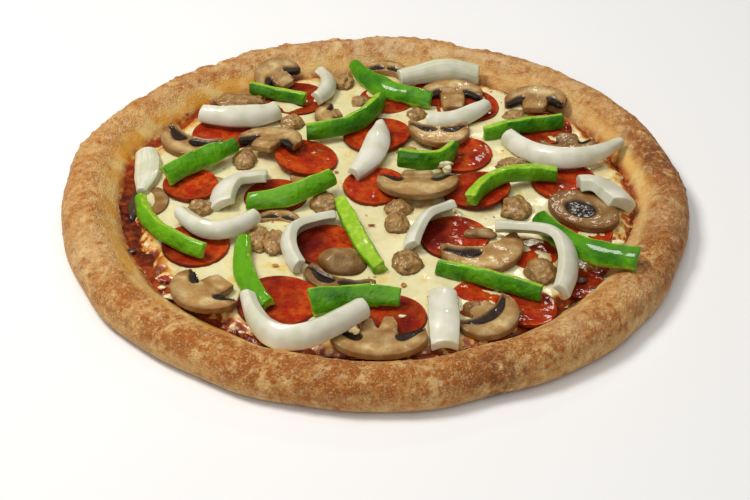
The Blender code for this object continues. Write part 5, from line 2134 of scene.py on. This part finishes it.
@dataclass
class Studio:
    """A pale floor, soft lights and the camera at the photograph's angle."""

    distance: float = 980.0
    elevation: float = 35.0
    # The focal length, and the row that the lens looks straight at, in the photograph's pixels.
    focal: float = 1739.0
    middle_row: float = 195.3
    sensor: float = 36.0
    target_height: float = 10.0
    lights: tuple = (
        # name, place and side in metres, power in watts
        ("key box", (-0.62, 0.12, 1.15), 0.38, 11.2),
        ("back box", (0.25, 1.1, 0.9), 0.13, 1.5),
        ("front fill", (-0.1, -1.3, 0.9), 0.9, 4.6),
    )
    light_colour: tuple = (1.0, 0.97, 0.91)
    room_colour: tuple = (1.0, 0.97, 0.92, 1.0)
    # How strongly the room glows at its sides and overhead, and the height at which the sides end.
    horizon: float = 0.07
    zenith: float = 1.15
    sides_end: float = 0.66
    floor_half: float = 4.0
    floor_colour: str = "#F2F3F6"

    def camera(self) -> None:
        """Sets the camera: a long lens that looks down from the front at the photograph's angle."""
        data = bpy.data.cameras.new("camera")
        data.sensor_width = self.sensor
        data.lens = self.sensor * self.focal / PHOTO_SIZE[0]
        tip = math.atan((PHOTO_SIZE[1] / 2.0 - self.middle_row) / self.focal)
        lift = math.radians(self.elevation)
        x, y = placed(0.0, -self.distance * math.cos(lift))
        z = self.target_height + self.distance * math.sin(lift)
        eye = linked("camera", data)
        eye.location = (x * MM, y * MM, z * MM)
        eye.rotation_euler = (math.pi / 2.0 - lift - tip, 0.0, 0.0)
        bpy.context.scene.camera = eye

    def light(self, name: str, place: tuple, size: float, power: float) -> None:
        """Hangs one soft box that faces the pizza.

        Args:
            name: The light's name.
            place: Where it hangs, in metres.
            size: Its side in metres.
            power: Its power in watts.
        """
        data = bpy.data.lights.new(name, "AREA")
        data.size = size
        data.energy = power
        data.color = self.light_colour
        box = linked(name, data)
        box.location = place
        box.rotation_euler = (-Vector(place)).to_track_quat("-Z", "Y").to_euler()

    def room(self) -> None:
        """Makes the room glow softly, most from overhead."""
        world = bpy.data.worlds.new("soft room")
        world.use_nodes = True
        tree, glow = world.node_tree, world.node_tree.nodes["Background"].inputs
        way = add_node(tree, "ShaderNodeTexCoord").outputs["Generated"]
        height = add_node(tree, "ShaderNodeSeparateXYZ", {0: way}).outputs["Z"]
        overhead = {0: height, 1: self.sides_end, 2: 1.0, 3: self.horizon, 4: self.zenith}
        strength = add_node(tree, "ShaderNodeMapRange", overhead, interpolation_type="SMOOTHSTEP").outputs[0]
        tree.links.new(strength, glow["Strength"])
        glow["Color"].default_value = self.room_colour
        bpy.context.scene.world = world

    def build(self) -> None:
        """Sets up the floor, the lights, the room and the camera."""
        half = self.floor_half
        corners = [(-half, -half, 0.0), (half, -half, 0.0), (half, half, 0.0), (-half, half, 0.0)]
        mesh = bpy.data.meshes.new("floor")
        mesh.from_pydata(corners, [], [(0, 1, 2, 3)])
        # Matt paper: it takes soft shadows and shows no glints.
        bench = ShaderBench("pale studio floor", roughness=0.8)
        bench.shader.inputs["Base Color"].default_value = hex_colour(self.floor_colour)
        mesh.materials.append(bench.material)
        floor = linked("floor", mesh)
        floor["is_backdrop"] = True
        for row in self.lights:
            self.light(*row)
        self.room()
        self.camera()


def main() -> None:
    """Builds the pizza from the dough up, then the studio."""
    logging.basicConfig(level=logging.INFO, format="%(name)s %(message)s")
    bpy.context.scene.view_settings.view_transform = "Standard"
    toppings = SolidProbe([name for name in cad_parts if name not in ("crust", "sauce", "cheese")])
    trees = GrowthTrees()
    Crust().build(trees)
    Sauce().build()
    cheese = Cheese().build(toppings)
    Crumbles().build(trees, toppings)
    Pepperoni().build(toppings)
    Mushrooms().build(trees, toppings)
    Strips(rows=STRIP_ROWS).build()
    Sprinkles().build(cheese, trees)
    Bits().build()
    Studio().build()
    boxes = {"cad": CAD_BOX, "visual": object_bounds()}
    {key: [[float(c) for c in corner] for corner in box] for key, box in boxes.items()}


if __name__ == "__main__":
    main()
